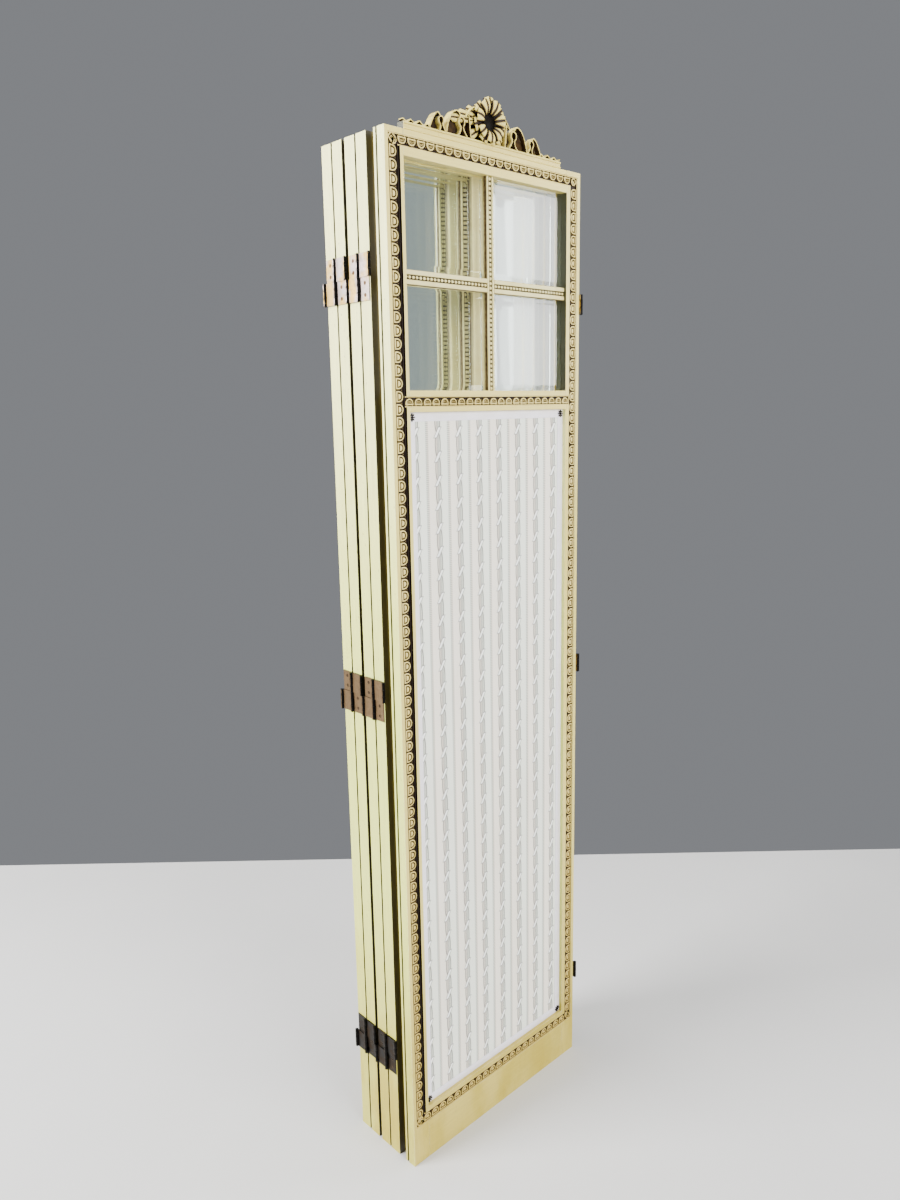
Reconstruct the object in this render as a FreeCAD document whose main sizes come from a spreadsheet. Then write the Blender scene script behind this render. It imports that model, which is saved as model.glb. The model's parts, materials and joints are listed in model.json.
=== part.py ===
import FreeCAD, Part
import os
import re
import Sketcher
from FreeCAD import Placement, Rotation, Vector

# A folding room divider: five framed leaves, hinged edge to edge and folded into a stack.
# Every leaf has two stiles, three rails, a carved moulding, a glazed window over a fabric
# panel, and the hinge leaves of a double-action hinge at three heights on each hinged edge.
#
# Leaf frame: X along the leaf from its left edge, Y into the leaf from its front face,
# Z up from its foot. The stack's own frame has its origin at the bottom centre of the
# bounding box, +X to the right and -Y towards the viewer of the front leaf.

DIMENSIONS = [
    ("leaf_width", 468, "width of one leaf"),
    ("leaf_height", 1800, "height of one leaf without the crest"),
    ("leaf_depth", 25, "thickness of one leaf"),
    ("leaf_gap", 4, "closed gap between two leaves"),
    ("front_opening", 1.7, "angle by which the front leaf stands open, in degrees"),
    ("rear_opening", 0.5, "angle by which the rear pair stands open, in degrees"),
    ("stile_width", 38, "width of a stile"),
    ("edge_groove_front", 16.5, "front of the groove along a leaf's edge"),
    ("edge_groove_width", 3.5, "width of the groove along a leaf's edge"),
    ("edge_groove_depth", 3, "depth of the groove along a leaf's edge"),
    ("top_rail_foot", 1762.5, "underside of the top rail"),
    ("middle_rail_foot", 1381, "underside of the middle rail"),
    ("middle_rail_top", 1415, "upper face of the middle rail"),
    ("bottom_rail_top", 107.5, "upper face of the bottom rail"),
    ("moulding_margin", 7, "plain edge outside the moulding"),
    ("moulding_width", 21, "width of the moulding along the stiles"),
    ("moulding_depth", 6, "depth of the channel that holds the moulding"),
    ("moulding_step", 0.5, "how far the moulding's face lies behind the frame's"),
    ("moulding_slack", 3, "open gap beside the left moulding"),
    ("moulding_foot", 77, "lower edge of the bottom moulding"),
    ("moulding_low", 97.5, "upper edge of the bottom moulding"),
    ("moulding_middle_foot", 1389, "lower edge of the middle moulding"),
    ("moulding_middle_top", 1406, "upper edge of the middle moulding"),
    ("moulding_high", 1775, "lower edge of the top moulding"),
    ("moulding_top", 1792, "upper edge of the top moulding"),
    ("bar_width", 17.5, "width of the upright glazing bar"),
    ("bar_front", 5, "front face of the glazing bars"),
    ("bar_back", 20, "back face of the glazing bars"),
    ("bar_foot", 1577, "underside of the level glazing bar"),
    ("bar_top", 1600, "upper face of the level glazing bar"),
    ("glass_front", 11, "front face of the panes"),
    ("glass_depth", 4, "thickness of a pane"),
    ("bevel_depth", 1.5, "depth of the bevel round a pane"),
    ("bevel_width", 10, "width of the bevel round a pane"),
    ("panel_front", 7, "front face of the fabric panel"),
    ("panel_depth", 12, "thickness of the fabric panel"),
    ("rosette_inset", 8, "corner of the panel to the centre of a rosette"),
    ("rosette_radius", 6.5, "radius of a rosette at its foot"),
    ("rosette_crown", 3, "radius of a rosette at its crown"),
    ("rosette_rise", 3, "height of a rosette"),
    ("hinge_tall", 72, "height of a hinge"),
    ("hinge_low", 208, "middle of the lowest hinge"),
    ("hinge_mid", 897, "middle of the middle hinge"),
    ("hinge_high", 1590, "middle of the highest hinge"),
    ("plate_thick", 1.5, "thickness of a hinge plate and of a link"),
    ("plate_inset", 1.8, "edge of the leaf to the edge of a hinge plate"),
    ("link_inset", 1.6, "edge of the leaf to the edge of a link"),
    ("pin_offset", 3.8, "edge of the leaf to the axis of a hinge pin"),
    ("pin_radius", 1.4, "radius of a hinge pin"),
    ("pin_bore", 1.45, "radius of the bore through a knuckle"),
    ("pin_end", 1, "how far a pin stands out of the hinge"),
    ("knuckle_radius", 3.2, "outer radius of a knuckle"),
    ("knuckle_gap", 0.3, "gap between two knuckles along the pin"),
    ("screw_radius", 1.6, "radius of a screw's shank"),
    ("screw_head", 3, "radius of a screw's head"),
    ("screw_reach", 14, "length of a screw in the wood"),
    ("screw_spacing", 18, "distance between the two screws of a plate"),
    ("slot_wide", 0.8, "width and depth of the slot in a screw's head"),
    ("crest_half", 187.5, "half the length of the crest's board"),
    ("crest_front", 9, "front face of the crest's board"),
    ("crest_depth", 14, "thickness of the crest's board"),
    ("crest_board", 15, "height of the crest's board"),
    ("flower_radius", 37, "radius of the crest's flower"),
    ("flower_proud", 5, "how far the flower stands in front of the bow"),
    ("bow_depth", 12, "thickness of the carved bow"),
]

# The three level strips of the moulding, each from its lower to its upper edge.
MOULDING_ROWS = (
    ("moulding_foot", "moulding_low"),
    ("moulding_middle_foot", "moulding_middle_top"),
    ("moulding_high", "moulding_top"),
)

LEAVES = (1, 2, 3, 4, 5)

doc = FreeCAD.newDocument("folding_screen")
sheet = doc.addObject("Spreadsheet::Sheet", "Sizes")
for row, (alias, value, meaning) in enumerate(DIMENSIONS, start=1):
    sheet.set(f"A{row}", meaning)
    sheet.set(f"B{row}", str(value))
    sheet.setAlias(f"B{row}", alias)
doc.recompute()


def size(alias):
    """The value of one driving dimension."""
    return float(sheet.get(alias))


def cells(text):
    """A formula of dimension names, written as an expression that reads the sheet."""
    return re.sub(r"[a-z][a-z_]+", lambda word: "Sizes." + word.group(0), str(text))


def bind(thing, formulas):
    """Bind properties of an object to formulas of dimension names."""
    for name, formula in formulas.items():
        thing.setExpression(name, cells(formula))
    return thing


def put(thing, x, y, z):
    """Bind an object's position to three formulas."""
    places = {"Placement.Base.x": x, "Placement.Base.y": y, "Placement.Base.z": z}
    return bind(thing, places)


def box(name, corner, sides):
    """A block from its low corner and its three sides, all formulas."""
    thing = doc.addObject("Part::Box", name)
    bind(thing, dict(zip(("Length", "Width", "Height"), sides)))
    return put(thing, *corner)


def rod(name, radius, height, centre, axis=Vector(0, 0, 1)):
    """A cylinder from the centre of its foot, along an axis."""
    thing = doc.addObject("Part::Cylinder", name)
    bind(thing, {"Radius": radius, "Height": height})
    thing.Placement = Placement(Vector(), Rotation(Vector(0, 0, 1), axis))
    return put(thing, *centre)


def cone(name, low, high, height, centre, axis):
    """A truncated cone from the centre of its foot, along an axis."""
    thing = doc.addObject("Part::Cone", name)
    bind(thing, {"Radius1": low, "Radius2": high, "Height": height})
    thing.Placement = Placement(Vector(), Rotation(Vector(0, 0, 1), axis))
    return put(thing, *centre)


def fuse(name, things):
    """Several solids joined into one."""
    thing = doc.addObject("Part::MultiFuse", name)
    thing.Shapes = things
    return thing


def group(name, things):
    """Several solids kept apart in one object."""
    thing = doc.addObject("Part::Compound", name)
    thing.Links = things
    return thing


def cut(name, base, tool):
    """One solid less another."""
    thing = doc.addObject("Part::Cut", name)
    thing.Base = base
    thing.Tool = tool
    return thing


def link(name, source, place=Placement()):
    """A second instance of an object at a place of its own."""
    thing = doc.addObject("App::Link", name)
    thing.LinkedObject = source
    thing.LinkTransform = True
    thing.Placement = place
    return thing


def rectangle(sketch, low_x, low_y, high_x, high_y):
    """A rectangle whose four sides keep formula distances from the sketch's axes."""
    first = sketch.GeometryCount
    corners = [Vector(1, 1, 0), Vector(9, 1, 0), Vector(9, 9, 0), Vector(1, 9, 0)]
    for here, there in zip(corners, corners[1:] + corners[:1]):
        sketch.addGeometry(Part.LineSegment(here, there), False)
    for side in range(4):
        after = (side + 1) % 4
        sketch.addConstraint(Sketcher.Constraint("Coincident", first + side, 2, first + after, 1))
    for side, kind in enumerate(("Horizontal", "Vertical", "Horizontal", "Vertical")):
        sketch.addConstraint(Sketcher.Constraint(kind, first + side))
    limits = (
        ("DistanceX", 0, low_x), ("DistanceY", 0, low_y),
        ("DistanceX", 2, high_x), ("DistanceY", 2, high_y),
    )
    for kind, corner, formula in limits:
        if str(formula) == "0":
            axis = -2 if kind == "DistanceX" else -1
            sketch.addConstraint(Sketcher.Constraint("PointOnObject", first + corner, 1, axis))
            continue
        constraint = Sketcher.Constraint(kind, -1, 1, first + corner, 1, 10.0)
        number = sketch.addConstraint(constraint)
        sketch.setExpression(f"Constraints[{number}]", cells(formula))


def sketch_on(body, name, plane, offset=None):
    """A sketch on one of the body's own origin planes, moved along its normal."""
    sketch = body.newObject("Sketcher::SketchObject", name)
    planes = [f for f in body.Origin.OriginFeatures if f.Role == plane]
    sketch.AttachmentSupport = [(planes[0], "")]
    sketch.MapMode = "FlatFace"
    if offset:
        sketch.setExpression("AttachmentOffset.Base.z", cells(offset))
    return sketch


# ---------------------------------------------------------------- one leaf's woodwork

def stile(name, channel_width):
    """A left stile: a plain post with a channel for the moulding."""
    body = doc.addObject("PartDesign::Body", name)
    outline = sketch_on(body, name + "_outline", "XY_Plane")
    rectangle(outline, 0, 0, "stile_width", "leaf_depth")
    post = body.newObject("PartDesign::Pad", name + "_post")
    post.Profile = outline
    bind(post, {"Length": "leaf_height"})

    mouth = sketch_on(body, name + "_channel_outline", "XZ_Plane")
    rectangle(
        mouth, "moulding_margin", "moulding_foot",
        f"moulding_margin + {channel_width}", "moulding_top",
    )
    channel = body.newObject("PartDesign::Pocket", name + "_channel")
    channel.Profile = mouth
    bind(channel, {"Length": "moulding_depth"})

    crossings = sketch_on(body, name + "_crossing_outline", "XZ_Plane")
    for low, high in MOULDING_ROWS:
        rectangle(crossings, "moulding_margin", low, "stile_width", high)
    crossing = body.newObject("PartDesign::Pocket", name + "_crossings")
    crossing.Profile = crossings
    bind(crossing, {"Length": "moulding_depth"})
    body.Tip = crossing
    return body


def grooved(body):
    """Runs a groove along the outer edge of a left stile."""
    slot = sketch_on(body, body.Name + "_groove_outline", "XY_Plane")
    rectangle(
        slot, 0, "edge_groove_front", "edge_groove_depth",
        "edge_groove_front + edge_groove_width",
    )
    groove = body.newObject("PartDesign::Pocket", body.Name + "_groove")
    groove.Profile = slot
    groove.Reversed = True
    bind(groove, {"Length": "leaf_height"})
    body.Tip = groove
    return body


def mirrored(name, source):
    """The same piece on the other side of the leaf."""
    thing = doc.addObject("Part::Mirroring", name)
    thing.Source = source
    thing.Normal = Vector(1, 0, 0)
    thing.Base = Vector(size("leaf_width") / 2, 0, 0)
    return thing


def rail(name, foot, top, channel_foot, channel_top):
    """A rail between the stiles, with a channel for the moulding in its front."""
    span = "leaf_width - 2 * stile_width"
    block = box(name + "_block", ("stile_width", 0, foot), (span, "leaf_depth", f"{top} - {foot}"))
    rise = f"{channel_top} - {channel_foot}"
    channel = box(
        name + "_channel", ("stile_width", 0, channel_foot), (span, "moulding_depth", rise)
    )
    return cut(name, block, channel)


def three_rails():
    """The top, middle and bottom rails."""
    rows = (
        ("top_rail", "top_rail_foot", "leaf_height", "moulding_high", "moulding_top"),
        ("middle_rail", "middle_rail_foot", "middle_rail_top",
         "moulding_middle_foot", "moulding_middle_top"),
        ("bottom_rail", "0", "bottom_rail_top", "moulding_foot", "moulding_low"),
    )
    return group("rails", [rail(*row) for row in rows])


def moulding():
    """The moulding: a ring round the leaf with a bar across it at the middle rail."""
    body = doc.addObject("PartDesign::Body", "moulding")
    outline = sketch_on(body, "moulding_outline", "XZ_Plane", "-moulding_depth")
    inner = "moulding_margin + moulding_width"
    far = "leaf_width - moulding_margin"
    rectangle(outline, "moulding_margin", "moulding_foot", far, "moulding_top")
    for low, high in (
        ("moulding_low", "moulding_middle_foot"), ("moulding_middle_top", "moulding_high"),
    ):
        rectangle(outline, inner, low, f"{far} - moulding_width", high)
    ring = body.newObject("PartDesign::Pad", "moulding_ring")
    ring.Profile = outline
    bind(ring, {"Length": "moulding_depth - moulding_step"})
    body.Tip = ring
    return body


def glazing_bars():
    """One upright and one level bar, crossing in the window."""
    depth = "bar_back - bar_front"
    upright = box(
        "upright_bar",
        ("(leaf_width - bar_width) / 2", "bar_front", "middle_rail_top"),
        ("bar_width", depth, "top_rail_foot - middle_rail_top"),
    )
    level = box(
        "level_bar",
        ("stile_width", "bar_front", "bar_foot"),
        ("leaf_width - 2 * stile_width", depth, "bar_top - bar_foot"),
    )
    return fuse("bars", [upright, level])


def pane(name, left, right, foot, top):
    """A pane with a bevel round its front face."""
    bevel = doc.addObject("Part::Wedge", name + "_bevel")
    bind(bevel, {
        "Ymin": "0", "Ymax": "bevel_depth",
        "Xmin": "bevel_width", "Xmax": f"{right} - {left} - bevel_width",
        "Zmin": "bevel_width", "Zmax": f"{top} - {foot} - bevel_width",
        "X2min": "0", "X2max": f"{right} - {left}",
        "Z2min": "0", "Z2max": f"{top} - {foot}",
    })
    put(bevel, left, "glass_front", foot)
    sheet_of_glass = box(
        name + "_sheet", (left, "glass_front + bevel_depth", foot),
        (f"{right} - ({left})", "glass_depth - bevel_depth", f"{top} - {foot}"),
    )
    return fuse(name, [bevel, sheet_of_glass])


def four_panes():
    """The four panes of the window."""
    columns = (
        ("left", "stile_width", "(leaf_width - bar_width) / 2"),
        ("right", "((leaf_width + bar_width) / 2)", "leaf_width - stile_width"),
    )
    rows = (("low", "middle_rail_top", "bar_foot"), ("high", "bar_top", "top_rail_foot"))
    panes = [
        pane(f"pane_{side}_{level}", left, right, foot, top)
        for side, left, right in columns
        for level, foot, top in rows
    ]
    return group("panes", panes)


def fabric_panel():
    """The upholstered board between the middle and bottom rails."""
    return box(
        "panel",
        ("stile_width", "panel_front", "bottom_rail_top"),
        ("leaf_width - 2 * stile_width", "panel_depth", "middle_rail_foot - bottom_rail_top"),
    )


def rosettes():
    """A small rosette in each corner of the fabric panel."""
    columns = ("stile_width + rosette_inset", "leaf_width - stile_width - rosette_inset")
    rows = ("bottom_rail_top + rosette_inset", "middle_rail_foot - rosette_inset")
    found = []
    for across, column in enumerate(columns):
        for up, row in enumerate(rows):
            found.append(cone(
                f"rosette_{across}_{up}", "rosette_radius", "rosette_crown", "rosette_rise",
                (column, "panel_front", row), Vector(0, -1, 0),
            ))
    return group("rosettes_of_leaf", found)


# ---------------------------------------------------------------- one hinge's pieces
#
# A hinge on the left edge of a leaf whose front face meets its neighbour. X is minus the
# distance out of the edge, Y runs from the meeting face to the far face, and Z is measured
# from the middle of the hinge. The upper half shows the screwed plate, and the link covers
# the lower half. The middle barrel stands beside the meeting face and the far barrel
# beside the other one. Turned half round about X, Y or Z, the same pieces fit every edge.

NEAR = "-leaf_gap / 2"
FAR = "(leaf_depth + leaf_gap / 2)"
KNUCKLE = "hinge_tall / 6"


def knuckle(name, barrel, row, low, thick, reach):
    """One knuckle with its web. Row counts sixths of the hinge up from its foot."""
    foot = f"({row} - 3) * {KNUCKLE} + knuckle_gap / 2"
    tall = f"{KNUCKLE} - knuckle_gap"
    ring = rod(name + "_ring", "knuckle_radius", tall, ("-pin_offset", barrel, foot))
    start = barrel if barrel == NEAR else f"leaf_depth - ({reach})"
    web = box(
        name + "_web", (f"-({low} + {thick})", start, foot),
        (thick, f"{reach} + leaf_gap / 2", tall),
    )
    return [ring, web]


def bores(name):
    """The two bores that run through all the knuckles."""
    return fuse(name, [
        rod(f"{name}_{side}", "pin_bore", "hinge_tall + 2", ("-pin_offset", axis, "-hinge_tall / 2 - 1"))
        for side, axis in (("near", NEAR), ("far", FAR))
    ])


def screw(name, level):
    """A countersunk wood screw, flush with the face of the plate."""
    head = cone(
        name + "_head", "screw_radius", "screw_head", "plate_thick",
        (0, "leaf_depth / 2", level), Vector(-1, 0, 0),
    )
    shank = rod(
        name + "_shank", "screw_radius", "screw_reach",
        (0, "leaf_depth / 2", level), Vector(1, 0, 0),
    )
    return fuse(name, [head, shank])


def slotted(name, blank, level):
    """The same screw with the slot cut across its head."""
    slot = box(
        name + "_slot", ("-plate_thick", "leaf_depth / 2 - screw_head", f"{level} - slot_wide / 2"),
        ("slot_wide", "2 * screw_head", "slot_wide"),
    )
    return cut(name, blank, slot)


def two_screws():
    """The two screws in the middle of the plate's open half, without and with slots."""
    levels = [f"hinge_tall / 4 + {side} * screw_spacing / 2" for side in ("(-1)", "1")]
    blanks = [screw(f"screw_blank_{n}", level) for n, level in enumerate(levels)]
    screws = [slotted(f"screw_{n}", blanks[n], level) for n, level in enumerate(levels)]
    return group("screw_blanks", blanks), group("screws", screws)


def hinge_plate(screws):
    """The plate on the leaf's edge, with two near knuckles and one far knuckle."""
    low = f"-{KNUCKLE} * 3"
    web = ("(knuckle_clear)", "(plate_thick - knuckle_clear)", "plate_inset + 0.5")
    web = [part.replace("knuckle_clear", "(pin_offset - knuckle_radius)") for part in web]
    pieces = [box(
        "plate_body", ("-plate_thick", "plate_inset", low),
        ("plate_thick", "leaf_depth - 2 * plate_inset", "hinge_tall"),
    )]
    for barrel, row in ((NEAR, 3), (NEAR, 5), (FAR, 1)):
        pieces += knuckle(f"plate_knuckle_{row}", barrel, row, *web)
    solid = cut("plate_bored", fuse("plate_blank", pieces), bores("plate_bores"))
    return cut("plate", solid, screws)


def hinge_link():
    """The link over the lower half of the plate, from one barrel to the other."""
    low = f"-{KNUCKLE} * 3"
    pieces = [box(
        "link_body", ("-2 * plate_thick", "link_inset", low),
        ("plate_thick", "leaf_depth - 2 * link_inset", "hinge_tall / 2 - knuckle_gap / 2"),
    )]
    for barrel, row in ((NEAR, 1), (FAR, 0), (FAR, 2)):
        pieces += knuckle(f"link_knuckle_{row}", barrel, row, "plate_thick", "plate_thick", "link_inset + 0.2")
    return cut("link", fuse("link_blank", pieces), bores("link_bores"))


def hinge_pins():
    """The long middle pin and the short far pin."""
    low = f"-{KNUCKLE} * 3 - pin_end"
    middle = rod("middle_pin", "pin_radius", "hinge_tall + 2 * pin_end", ("-pin_offset", NEAR, low))
    far = rod("far_pin", "pin_radius", "hinge_tall / 2 + pin_end", ("-pin_offset", FAR, low))
    return middle, far


# ---------------------------------------------------------------- the crest

def crest_board():
    """The plain board on top of the front leaf."""
    return box(
        "board", ("leaf_width / 2 - crest_half", "crest_front", "leaf_height"),
        ("2 * crest_half", "crest_depth", "crest_board"),
    )


def crest_bow():
    """The carved bow: a flower standing proud in the middle, arches and ribbon tails beside."""
    foot = "leaf_height + crest_board"
    depth = "bow_depth"
    middle = "leaf_width / 2"

    def disc(name, across, up, radius, long=depth):
        place = (f"{middle} + ({across})", "crest_front + bow_depth", f"{foot} + {up}")
        return rod(name, radius, long, place, Vector(0, -1, 0))

    pieces = [
        disc("flower", 0, 31, "flower_radius", "bow_depth + flower_proud"),
        disc("shell", 0, 52, 17),
    ]
    pieces.append(box(
        "bow_foot", (f"{middle} - 40", "crest_front", foot), ("80", depth, "14")
    ))
    holes = []
    for side in (-1, 1):
        name = "left" if side < 0 else "right"
        pieces.append(disc(name + "_arch", side * 74, 14, 20))
        pieces.append(disc(name + "_outer_arch", side * 115, 8, 16))
        holes.append(disc(name + "_keyhole", side * 63, 22, 5))
        start = "40" if side > 0 else "-185"
        pieces.append(box(
            name + "_tail", (f"{middle} + ({start})", "crest_front", foot), ("145", depth, "7")
        ))
    ground = box(
        "under_bow", ("0", "crest_front", f"{foot} - 40"),
        ("leaf_width", "bow_depth + 1", "40"),
    )
    solid = cut("bow_pierced", fuse("bow_blank", pieces), fuse("bow_holes", holes))
    return cut("bow", solid, ground)


# ---------------------------------------------------------------- the five leaves

def leaf_places():
    """Each leaf's placement in the stack, and the place of each hinge between two leaves."""
    width, depth, gap = size("leaf_width"), size("leaf_depth"), size("leaf_gap")
    out = size("pin_offset")
    turned = Placement()
    places, axes = {}, {}
    for number in LEAVES:
        start = (number - 1) * (depth + gap)
        if number > 1:
            edge = width + out if number % 2 == 0 else -out
            axis = turned.multVec(Vector(edge, start - gap / 2, 0))
            axes[number - 1, number] = axis
            opening = {2: "front_opening", 4: "rear_opening"}.get(number)
            angle = -size(opening) if opening else 0
            turned = Placement(Vector(), Rotation(Vector(0, 0, 1), angle), axis) * turned
        if number % 2 == 1:
            local = Placement(Vector(0, start, 0), Rotation())
        else:
            local = Placement(Vector(width, start + depth, 0), Rotation(Vector(0, 0, 1), 180))
        places[number] = turned * local
    return places, axes


def hinge_place(left, front, level):
    """Where a hinge's pieces go on a leaf, from its edge and its meeting face."""
    width, depth, height = size("leaf_width"), size("leaf_depth"), size(level)
    axis = {
        (True, True): None,
        (False, False): Vector(0, 0, 1),
        (False, True): Vector(0, 1, 0),
        (True, False): Vector(1, 0, 0),
    }[left, front]
    turn = Rotation(axis, 180) if axis else Rotation()
    corner = Vector(0 if left else width, 0 if front else depth, height)
    return Placement(corner, turn)


def hinged_edges(number):
    """The hinged edges of a leaf as (is it the left edge, does the front face meet)."""
    odd = number % 2 == 1
    before = (True, odd)
    after = (False, not odd)
    return [edge for edge, there in ((before, number > 1), (after, number < len(LEAVES))) if there]


def hinge_pieces(number, kind, source):
    """A leaf's copies of one hinge piece, one for each hinge on its edges."""
    found = []
    for left, front in hinged_edges(number):
        for level in ("hinge_low", "hinge_mid", "hinge_high"):
            place = hinge_place(left, front, level)
            side = "left" if left else "right"
            found.append((left, link(f"leaf{number}_{kind}_{side}_{level}", source, place)))
    return found


def node(name, things, place):
    """A finished sub-part of the stack, placed with its leaf."""
    thing = group("node_" + name, things)
    thing.Label = name
    thing.Placement = place
    nodes.append(thing)
    return thing


nodes = []
masters = {
    "left_stile": stile("left_post", "moulding_width + moulding_slack"),
    "right_stile": mirrored("right_post", stile("right_post_source", "moulding_width")),
    "rails": three_rails(),
    "carved_moulding": moulding(),
    "glazing_bars": glazing_bars(),
    "glass_panes": four_panes(),
    "fabric_panel": fabric_panel(),
    "corner_rosettes": rosettes(),
}
front_masters = {
    "left_stile": grooved(stile("front_left_post", "moulding_width + moulding_slack")),
    "right_stile": mirrored("front_right_post", grooved(stile("front_right_source", "moulding_width"))),
}
screw_blanks, screws_master = two_screws()
plate_master = hinge_plate(screw_blanks)
link_master = hinge_link()
middle_pin, far_pin = hinge_pins()
doc.recompute()

places, axes = leaf_places()
for number in LEAVES:
    here = places[number]
    screws = hinge_pieces(number, "screws", screws_master)
    for piece, source in masters.items():
        name = f"leaf{number}_{piece}"
        if number == 1:
            source = front_masters.get(piece, source)
        solid = link(name + "_instance", source)
        holes = [thing for left, thing in screws if piece == ("left_stile" if left else "right_stile")]
        if holes:
            solid = cut(name + "_drilled", solid, group(name + "_holes", holes))
        node(name, [solid], here)
    plates = hinge_pieces(number, "plate", plate_master)
    node(f"leaf{number}_hinge_plates", [thing for _, thing in plates], here)
    links = hinge_pieces(number, "link", link_master)
    node(f"leaf{number}_hinge_links", [thing for _, thing in links], here)
    pins = hinge_pieces(number, "far_pin", far_pin)
    if number % 2 == 1:
        pins += hinge_pieces(number, "middle_pin", middle_pin)
    node(f"leaf{number}_hinge_fixings", [thing for _, thing in screws + pins], here)
node("crest_base", [crest_board()], places[1])
node("crest", [crest_bow()], places[1])
doc.recompute()

# The origin moves to the bottom centre of the whole stack.
extent = FreeCAD.BoundBox()
for thing in nodes:
    extent.add(thing.Shape.BoundBox)
centre = Vector(extent.Center.x, extent.Center.y, extent.ZMin)
for thing in nodes:
    thing.Placement = Placement(-centre, Rotation()) * thing.Placement
doc.recompute()

for thing in doc.Objects:
    if "Invalid" in thing.State or "Error" in thing.State:
        raise RuntimeError(f"{thing.Name} did not recompute: {thing.State}")
for thing in nodes:
    if thing.Shape.isNull() or not thing.Shape.isValid():
        raise RuntimeError(f"{thing.Label} has no valid shape")

channel = size("moulding_depth") * (size("moulding_top") - size("moulding_foot"))
wide = size("moulding_width") + size("moulding_slack")
rows = sum(size(high) - size(low) for low, high in MOULDING_ROWS)
crossing = rows * size("moulding_depth") * (size("stile_width") - size("moulding_margin") - wide)
post = size("stile_width") * size("leaf_depth") * size("leaf_height")
groove = size("edge_groove_depth") * size("edge_groove_width") * size("leaf_height")
plain = post - channel * wide - crossing
if abs(masters["left_stile"].Shape.Volume - plain) > 1:
    raise RuntimeError("the stile's channel was not cut")
if abs(front_masters["left_stile"].Shape.Volume - (plain - groove)) > 1:
    raise RuntimeError("the front stile's groove was not cut")

os.makedirs("parts", exist_ok=True)
for thing in nodes:
    thing.Shape.exportStep(f"parts/{thing.Label}.step")
    print(f"{thing.Label}: {len(thing.Shape.Solids)} solids, {thing.Shape.Volume / 1000:.1f} cm3")
print("nodes", len(nodes))
print("size", [round(v, 2) for v in (extent.XLength, extent.YLength, extent.ZLength)])
for pair, axis in axes.items():
    print("hinge", pair, [round(v / 1000, 6) for v in (axis - centre)])
print("leaf 1 corner", [round(v / 1000, 6) for v in -centre])
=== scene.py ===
"""A folding room divider of five leaves with glazed tops and cloth panels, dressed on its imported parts."""

import json
import logging
import math
from dataclasses import dataclass
from enum import Enum
from functools import lru_cache

import bmesh
import bpy
from bmesh.types import BMEdge, BMesh, BMFace, BMVert
from bpy.types import Material, Mesh, Node, NodeSocket, NodeTree, Object
from mathutils import Matrix, Vector


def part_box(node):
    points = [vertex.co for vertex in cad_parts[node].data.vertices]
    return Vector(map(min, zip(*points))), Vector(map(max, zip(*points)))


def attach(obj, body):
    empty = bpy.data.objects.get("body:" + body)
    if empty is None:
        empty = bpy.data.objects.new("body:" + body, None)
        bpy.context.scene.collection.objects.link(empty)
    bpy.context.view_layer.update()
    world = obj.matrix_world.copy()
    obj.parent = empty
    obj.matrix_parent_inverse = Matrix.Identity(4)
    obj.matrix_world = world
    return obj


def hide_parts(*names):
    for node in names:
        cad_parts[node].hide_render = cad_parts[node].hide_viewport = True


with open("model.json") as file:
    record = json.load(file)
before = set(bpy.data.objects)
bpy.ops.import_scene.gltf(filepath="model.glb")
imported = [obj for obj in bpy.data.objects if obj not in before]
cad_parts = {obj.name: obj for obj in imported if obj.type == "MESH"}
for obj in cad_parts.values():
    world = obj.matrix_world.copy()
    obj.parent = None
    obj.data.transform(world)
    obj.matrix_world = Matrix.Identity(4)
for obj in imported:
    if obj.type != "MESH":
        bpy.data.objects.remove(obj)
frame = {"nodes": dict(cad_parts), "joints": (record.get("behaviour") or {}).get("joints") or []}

LOG = logging.getLogger("folding_screen")
MM = 0.001
WELD_GAP = 1e-5
ROUND_ABOVE = math.radians(30)
WOOD_EDGE, CREST_EDGE, PLATE_EDGE, PIN_EDGE = 0.7, 0.8, 0.2, 0.12
CLOTH_THICK = 0.5
Colour = tuple[float, float, float]


def paint(red: int, green: int, blue: int) -> Colour:
    """A colour given as a paint chart gives it, in steps of 255, for a shader socket."""
    return tuple(
        (c / 255 / 12.92) if c / 255 <= 0.04045 else ((c / 255 + 0.055) / 1.055) ** 2.4
        for c in (red, green, blue)
    )


# ---------------------------------------------------------------- shader helpers


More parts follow.
